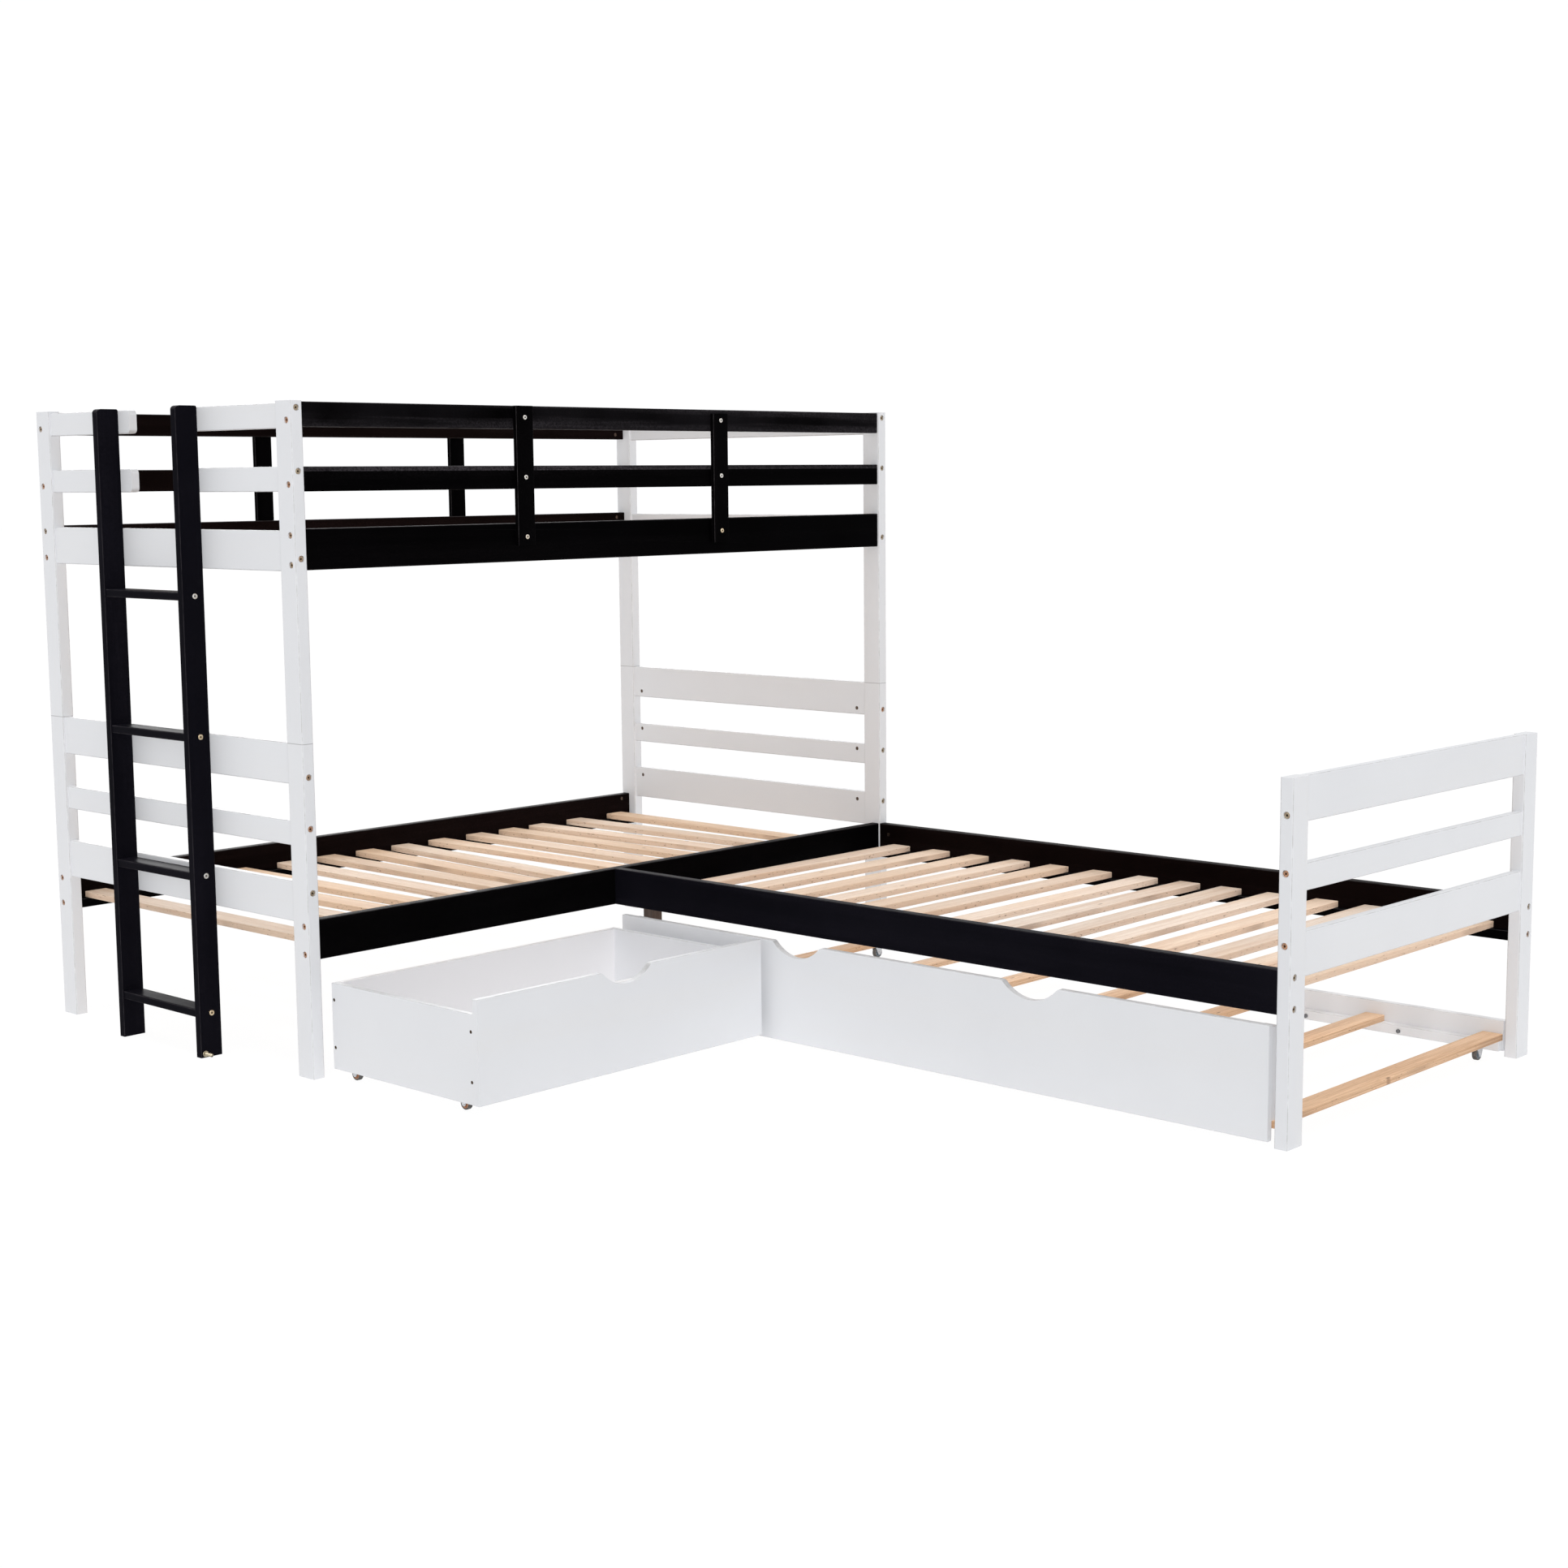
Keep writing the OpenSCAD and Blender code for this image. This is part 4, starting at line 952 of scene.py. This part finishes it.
@dataclass
class BunkFrame:
    """The white posts and end panels of the bunk, and its black rails."""

    posts: Names = tuple(
        f"{level}_post_{side}" for level in ("lower", "upper")
        for side in ("front_left", "back_left", "front_right", "back_right"))
    end_rails: Names = (
        "lower_left_wide_rails", "lower_left_mid_rail", "lower_right_wide_rails",
        "lower_right_mid_rail", "entry_stub_rails", "upper_left_end_rail",
        "upper_right_guard_rails", "upper_right_end_rail")
    front_guards: Names = ("front_guard_rails",)
    side_rails: Names = ("upper_front_bed_rail", "lower_front_bed_rail", "bed_ledgers")
    back_rails: Names = ("back_guard_rails", "upper_back_bed_rail", "lower_back_bed_rail")
    battens: Names = ("front_guard_battens", "back_guard_battens")
    leg: str = "support_leg"
    dowels: str = "post_dowels"

    def dress(self) -> None:
        """Paints the boards and stains the leg."""
        dress(self.posts, POST_PAINT.build(Grain.ALONG_Z))
        dress(self.end_rails, WHITE_PAINT.build(Grain.ALONG_Y))
        dress(self.front_guards, DUSTY_BLACK_PAINT.build(Grain.ALONG_X))
        dress(self.side_rails, BLACK_PAINT.build(Grain.ALONG_X))
        dress(self.back_rails, PAINTED_REFLECTION_BLACK_PAINT.build(Grain.ALONG_X))
        dress(self.battens, BLACK_PAINT.build(Grain.ALONG_Z))
        dress([self.leg], STAINED.build(Grain.ALONG_Z, self.leg))
        dress([self.dowels], WARM_PINE.build(Grain.ALONG_Z, self.dowels))


@dataclass
class ThirdBed:
    """The bed at right angles: its footboard and its two black rails."""

    posts: str = "footboard_posts"
    foot_rails: Names = ("footboard_wide_rails", "footboard_mid_rail")
    near_rail: str = "extension_near_rail"
    far_rail: str = "extension_far_rail"

    def dress(self) -> None:
        """Paints the boards."""
        dress([self.posts], WHITE_PAINT.build(Grain.ALONG_Z))
        dress(self.foot_rails, WHITE_PAINT.build(Grain.ALONG_X))
        dress([self.near_rail], PAINTED_SHEEN_BLACK_PAINT.build(Grain.ALONG_Y))
        dress([self.far_rail], PAINTED_REFLECTION_BLACK_PAINT.build(Grain.ALONG_Y))


@dataclass
class SlatBeds:
    """The bare slats of the four beds, each board with its own lot of timber."""

    rows: Sequence[tuple[str, Grain, BareTimber]] = (
        ("upper", Grain.ALONG_Y, PINE), ("lower", Grain.ALONG_Y, PAINTED_SHADE_PINE),
        ("extension", Grain.ALONG_X, PINE), ("trundle", Grain.ALONG_X, WARM_PINE))
    seed: int = 31

    def build(self) -> None:
        """Builds each row on its CAD boards, in their places."""
        draw = random.Random(self.seed)
        for bed, grain, timber in self.rows:
            node, name = f"{bed}_slats", f"{bed}_slat_boards"
            row, across = Builder(name), 1 - grain.value
            for solid in sorted(solids_of(node), key=lambda found: found.low[across]):
                lot = [draw.random() for _ in range(3)]
                row.board(*self.lie(solid, grain.value), lot)
            row.done(timber.build(grain, name, True), "pine", node)

    @staticmethod
    def lie(solid: Solid, axis: int) -> tuple[Vector, Matrix]:
        """Finds how a board lies.

        Args:
            solid: its CAD solid.
            axis: the axis that it runs along, near enough.

        Returns:
            Its width, length and thickness, and the matrix that lays it there.
        """
        middle = solid.middle()
        near, far = ([p for p in solid.points if (p[axis] > middle[axis]) == side]
                     for side in (False, True))
        span = sum(far, Vector()) / len(far) - sum(near, Vector()) / len(near)
        along = span.normalized()
        turn = Matrix((along.cross(Vector((0, 0, 1))), along, (0, 0, 1))).transposed()
        width = 2 * max(abs((p - middle).dot(turn.col[0])) for p in solid.points)
        size = Vector((width, span.length, solid.high.z - solid.low.z))
        return size, Matrix.Translation(middle) @ turn.to_4x4()


@dataclass
class Ladder:
    """The black ladder and the threaded pin in its foot, whose sizes are in mm."""

    stiles: str = "ladder_stiles"
    rungs: str = "ladder_rungs"
    pin: str = "ladder_foot_pin"
    washer: float = 2.0
    washer_edge: float = 0.4
    washer_gap: float = 0.1
    thread: float = 1.5
    core: float = 3.45
    crest: float = 4.0
    tip: float = 1.0
    facets: int = 32

    def dress(self) -> None:
        """Paints the stiles and rungs."""
        dress([self.stiles], PAINTED_SHEEN_BLACK_PAINT.build(Grain.ALONG_Z))
        dress([self.rungs], PAINTED_SHEEN_BLACK_PAINT.build(Grain.ALONG_Y))

    def build(self) -> None:
        """Builds the pin: a washer against the stile and a threaded shank."""
        low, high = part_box(self.pin)
        length, wide = (high.y - low.y) / MM, (high.z - low.z) / 2 / MM
        stile = length - high.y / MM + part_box(self.stiles)[0].y / MM
        near, far = stile - self.washer, stile - self.washer_gap
        shank = [(0.0, 0.0), (0.0, self.core - self.tip)]
        for k in range(int((near - self.tip) / self.thread)):
            start = self.tip + k * self.thread
            shank += [(start, self.core), (start + self.thread / 2, self.crest)]
        shank += [(near, self.core), (near, self.crest), (length, self.crest), (length, 0.0)]
        washer = [(near, self.crest), (near, wide - self.washer_edge),
                  (near + self.washer_edge, wide), (far, wide), (far, self.crest)]
        middle = (low + high) / 2
        seat = (Matrix.Translation((middle.x, low.y, middle.z))
                @ Matrix.Rotation(math.pi / 2, 4, "Z"))
        pin = Builder("ladder_foot_screw")
        for outline in (shank, washer):
            pin.turned(outline, seat, self.facets)
        pin.done(DULL_BRASS.build(), "brass", self.pin)


@dataclass
class Fasteners:
    """Socket bolts, barrel nuts and the bolts on the surface."""

    frame_bolt: Fastener = Fastener(3 * MM, 0.5 * MM, 3 * MM, Drive.HEX, 0.36, 0.7)
    surface_bolt: Fastener = Fastener(2.2 * MM, 0.9 * MM, 2.4 * MM, Drive.HEX, 0.42, 0.75)
    nuts: str = "barrel_nuts"
    # how strongly some lean to their second tone
    lean = 0.35

    def build(self) -> None:
        """Builds the bolts in the places of the CAD bolts."""
        self.set("frame_bolt_set", "frame_bolts", self.frame_bolt, BRONZE.build(), "bronze")
        self.set("surface_bolt_set", "surface_bolts", self.surface_bolt, BRASS.build(), "brass",
                 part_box("ladder_stiles")[1].x)
        dress([self.nuts], NUT_STEEL.build())

    @classmethod
    def set(cls, name: str, node: str, kind: Fastener, material: Material, slot: str,
            side: float = -math.inf) -> None:
        """Builds one node's fasteners. Those that look along X lean to the second tone.

        Args:
            name: the new piece's name.
            node: the CAD node that it stands for.
            kind: the fastener.
            material: its finish.
            slot: the record's material slot.
            side: where those that lean to the second tone too end, along X.
        """
        piece, draw = Builder(name), random.Random(len(name))
        for solid in solids_of(node):
            place = Place.along(solid)
            warm = place.face.x < side or abs(place.out.x) > 0.5
            lot = [(1.0 - cls.lean) * draw.random() + cls.lean * warm,
                   draw.random(), draw.random()]
            piece.put(kind.mesh(place), place.matrix(), lot)
        piece.done(material, slot, node)


@dataclass
class Casters:
    """Wheels with a tyre on a ribbed hub, rivets and plate screws."""

    # one half of each outline, along the axle and from it
    hub: Outline = (
        (-5.9, 2.6), (-5.9, 4.4), (-5.4, 4.9), (-2.2, 5.2), (-2.0, 9.4), (-4.6, 9.7),
        (-4.9, 10.1), (-4.9, 11.3))
    tyre: Outline = (
        (-5.0, 11.2), (-5.5, 11.5), (-5.5, 13.2), (-5.1, 14.0), (-4.3, 14.5), (-2.1, 14.5),
        (-1.8, 14.0), (-1.3, 14.0), (-1.0, 14.5))
    ribs: int = 6
    rib: Triple = (2.4, 1.1, 5.2)
    rib_out: float = 2.9 * MM
    rib_up: float = 7.2 * MM
    rivet: Fastener = Fastener(1.3 * MM, 0.9 * MM, 2.5 * MM, Drive.NONE, sides=20)
    screw: Fastener = Fastener(1.1 * MM, 0.7 * MM, 1.2 * MM, Drive.CROSS, 0.62, 0.7)
    rivet_radius: float = 3.4 * MM
    screw_radius: float = 2.1 * MM
    cheek: float = 8.8 * MM
    plate: float = 2.0 * MM
    screw_x: float = 5.0 * MM
    screw_y: float = 15.4 * MM

    def build(self, group: str, axles: Names, hub: Moulded, turned: bool) -> None:
        """Builds the wheels and small parts of one rolling unit.

        Args:
            group: the unit's name and its body's, "drawer" or "trundle".
            axles: the CAD nodes of its wheels.
            hub: what its hubs are moulded from.
            turned: whether its wheels turn about Y and not about X.
        """
        quarter = Matrix.Rotation(math.pi / 2, 4, "Z") if turned else Matrix.Identity(4)
        rivets, screws = Builder(f"{group}_caster_rivets"), Builder(f"{group}_plate_screws")
        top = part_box(f"{group}_casters")[1].z - self.plate
        for node in axles:
            tyres, hubs = Builder(f"{node}_tyres"), Builder(f"{node}_hubs")
            for wheel in solids_of(node):
                seat = Matrix.Translation(wheel.middle()) @ quarter
                for part, half in ((tyres, self.tyre), (hubs, self.hub)):
                    part.turned((*half, *((-x, r) for x, r in reversed(half))), seat)
                for k in range(self.ribs):
                    turn = seat @ Matrix.Rotation(math.tau * k / self.ribs, 4, "X")
                    for side in (-1, 1):
                        place = Matrix.Translation((side * self.rib_out, 0, self.rib_up))
                        hubs.box(self.rib, turn @ place)
                self.small(rivets, screws, seat, top)
            tyres.done(RUBBER.build(), "tread", node)
            hubs.done(hub.build(), "tread", node)
        rivets.done(ZINC.build(), "zinc", body=group)
        screws.done(ZINC.build(), "zinc", body=group)
        dress([f"{group}_casters"], ZINC.build())

    def small(self, rivets: Builder, screws: Builder, seat: Matrix, top: float) -> None:
        """Adds the rivets of one axle and the screws of one plate.

        Args:
            rivets: the piece that gathers the rivets.
            screws: the piece that gathers the screws.
            seat: the wheel's place.
            top: the height of the plate's underside.
        """
        for side in (-1, 1):
            face = seat @ Vector((side * (self.cheek + self.rivet.head), 0, 0))
            out = seat.to_3x3() @ Vector((side, 0, 0))
            spot = Place(face, out, self.rivet.head, self.rivet_radius)
            rivets.put(self.rivet.mesh(spot), spot.matrix())
            for end in (-1, 1):
                corner = seat @ Vector((side * self.screw_x, end * self.screw_y, 0))
                corner.z = top - self.screw.head
                spot = Place(corner, Vector((0, 0, -1)), self.screw.head, self.screw_radius)
                screws.put(self.screw.mesh(spot), spot.matrix())


@dataclass
class Drawer:
    """The white drawer under the bunk, on four casters."""

    front: str = "drawer_front"
    sides: str = "drawer_sides"
    panels: Names = ("drawer_end_boards", "drawer_bottom")
    wheels: Names = ("drawer_wheels_front", "drawer_wheels_back")
    screw: Fastener = Fastener(1.8 * MM, 0.5 * MM, 2.4 * MM, Drive.CROSS, 0.6, 0.7)

    def dress(self) -> None:
        """Paints the boards."""
        dress([self.front], WHITE_PAINT.build(Grain.ALONG_X))
        dress(self.panels, PAINTED_LIGHT_WHITE_PAINT.build(Grain.ALONG_X))
        dress([self.sides], WHITE_PAINT.build(Grain.ALONG_Y))

    def build(self) -> None:
        """Builds the screws and casters."""
        Fasteners.set("drawer_side_screws", "drawer_screws", self.screw, DARK_BRONZE.build(),
                      "bronze")
        Casters().build("drawer", self.wheels, BROWN_HUB, False)


@dataclass
class Trundle:
    """The low trundle under the third bed, on four casters."""

    boards: Names = ("trundle_panel", "trundle_rear_rail", "trundle_ledgers")
    cleats: str = "trundle_cleats"
    bolts: str = "trundle_bolts"
    wheels: Names = ("trundle_wheels_front", "trundle_wheels_rear")

    def dress(self) -> None:
        """Paints the boards."""
        dress(self.boards, WHITE_PAINT.build(Grain.ALONG_Y))
        dress([self.cleats], WHITE_PAINT.build(Grain.ALONG_Z))
        dress([self.bolts], DULL_ZINC.build())

    def build(self) -> None:
        """Builds the casters."""
        Casters().build("trundle", self.wheels, SLATE_HUB, True)


# ---------- the studio ----------


@dataclass(frozen=True)
class Lamp:
    """A far, soft lamp that looks at the bed.

    Its light is how bright a white board is that faces it, from 0 to 1, and its
    softness is how wide it looks from the bed, in degrees.
    """

    name: str
    place: Triple
    light: float
    softness: float
    shadow: bool = True

    def hang(self) -> None:
        """Hangs the lamp in its place."""
        data = bpy.data.lights.new(self.name, "SUN")
        data.angle, data.energy = math.radians(self.softness), math.pi * self.light
        data.use_shadow = self.shadow
        lamp = place_in_scene(self.name, data)
        lamp.location = self.place
        lamp.rotation_euler = (-lamp.location).to_track_quat("-Z", "Y").to_euler()


@dataclass
class Studio:
    """Pale floor, plain soft light and the camera at the photograph's angle."""

    eye: Triple = (-4.0053, -3.8394, 1.3187)
    turn: Triple = (1.4421, 0.0089, -0.8229)
    lens: float = 54.436
    sensor: float = 36.0
    reach: float = 200.0
    sky: float = 0.4
    sky_seen: float = 1.02
    sky_tone: Colour = (0.99, 0.993, 1.0)
    floor_size: float = 60.0
    floor_drop: float = 0.6 * MM
    floor_tone: float = 0.93
    floor_shade: float = 0.09
    floor_light: float = 0.9
    lamps: Sequence[Lamp] = (
        Lamp("front_lamp", (-6.0, -6.0, 1.5), 0.23, 20.0, False),
        Lamp("fill_lamp", (-5.6, -5.8, 6.0), 0.35, 20.0, False),
        Lamp("top_lamp", (-1.6, -0.6, 9.0), 0.2, 14.0),
        Lamp("over_lamp", (-1.0, -2.0, 9.0), 0.19, 20.0, False),
        Lamp("back_lamp", (4.0, 6.0, 3.0), 0.2, 30.0))

    def camera(self) -> None:
        """Sets up the camera."""
        data = bpy.data.cameras.new("photo_camera")
        data.sensor_width, data.lens = self.sensor, self.lens
        data.clip_end = self.reach
        camera = place_in_scene("photo_camera", data)
        camera.location, camera.rotation_euler = self.eye, self.turn
        bpy.context.scene.camera = camera

    def world(self) -> None:
        """Makes the sky: white to the camera, and even light on the bed."""
        world = bpy.data.worlds.new("studio")
        graph = Graph(world)
        strength = graph.add("MapRange", {
            "Value": graph.seen(), "To Min": self.sky, "To Max": self.sky_seen})[0]
        back = graph.tree.nodes["Background"]
        graph.feed(back.inputs["Strength"], strength)
        graph.feed(back.inputs["Color"], Graph.full(self.sky_tone))
        bpy.context.scene.world = world

    def floor(self) -> None:
        """Lays the floor: white to the camera apart from the bed's shadow."""
        work = bmesh.new()
        bmesh.ops.create_grid(work, x_segments=2, y_segments=2, size=self.floor_size,
                              matrix=Matrix.Translation((0, 0, -self.floor_drop)))
        mesh = mesh_of(work, "studio_floor")
        floor = place_in_scene("studio_floor", mesh)
        paper = bpy.data.materials.new("white_paper")
        graph = Graph(paper)
        graph.tree.nodes.clear()
        plain, shade = (graph.add("BsdfDiffuse", {"Color": (tone, tone, tone, 1.0)})[0]
                        for tone in (self.floor_tone, self.floor_shade))
        glow = graph.add("Emission", {"Strength": 1.0 - self.floor_light * self.floor_shade})[0]
        both = graph.add("AddShader", {0: shade, 1: glow})[0]
        pick = graph.add("MixShader", {0: graph.seen(), 1: plain, 2: both})[0]
        graph.add("OutputMaterial", {0: pick})
        mesh.materials.append(paper)

    def build(self) -> None:
        """Sets up the whole studio."""
        bpy.context.scene.view_settings.view_transform = "Standard"
        self.camera()
        self.world()
        self.floor()
        for lamp in self.lamps:
            lamp.hang()
        LOG.info("studio: camera at %s", self.eye)


def main() -> None:
    """Builds and dresses the bed and sets the studio."""
    logging.basicConfig(level=logging.INFO, format="%(name)s: %(message)s")
    Studio().build()
    bunk, third, slats, ladder = BunkFrame(), ThirdBed(), SlatBeds(), Ladder()
    bunk.dress()
    third.dress()
    slats.build()
    ladder.dress()
    ladder.build()
    Fasteners().build()
    for unit in (Drawer(), Trundle()):
        unit.dress()
        unit.build()


if __name__ == "__main__":
    main()
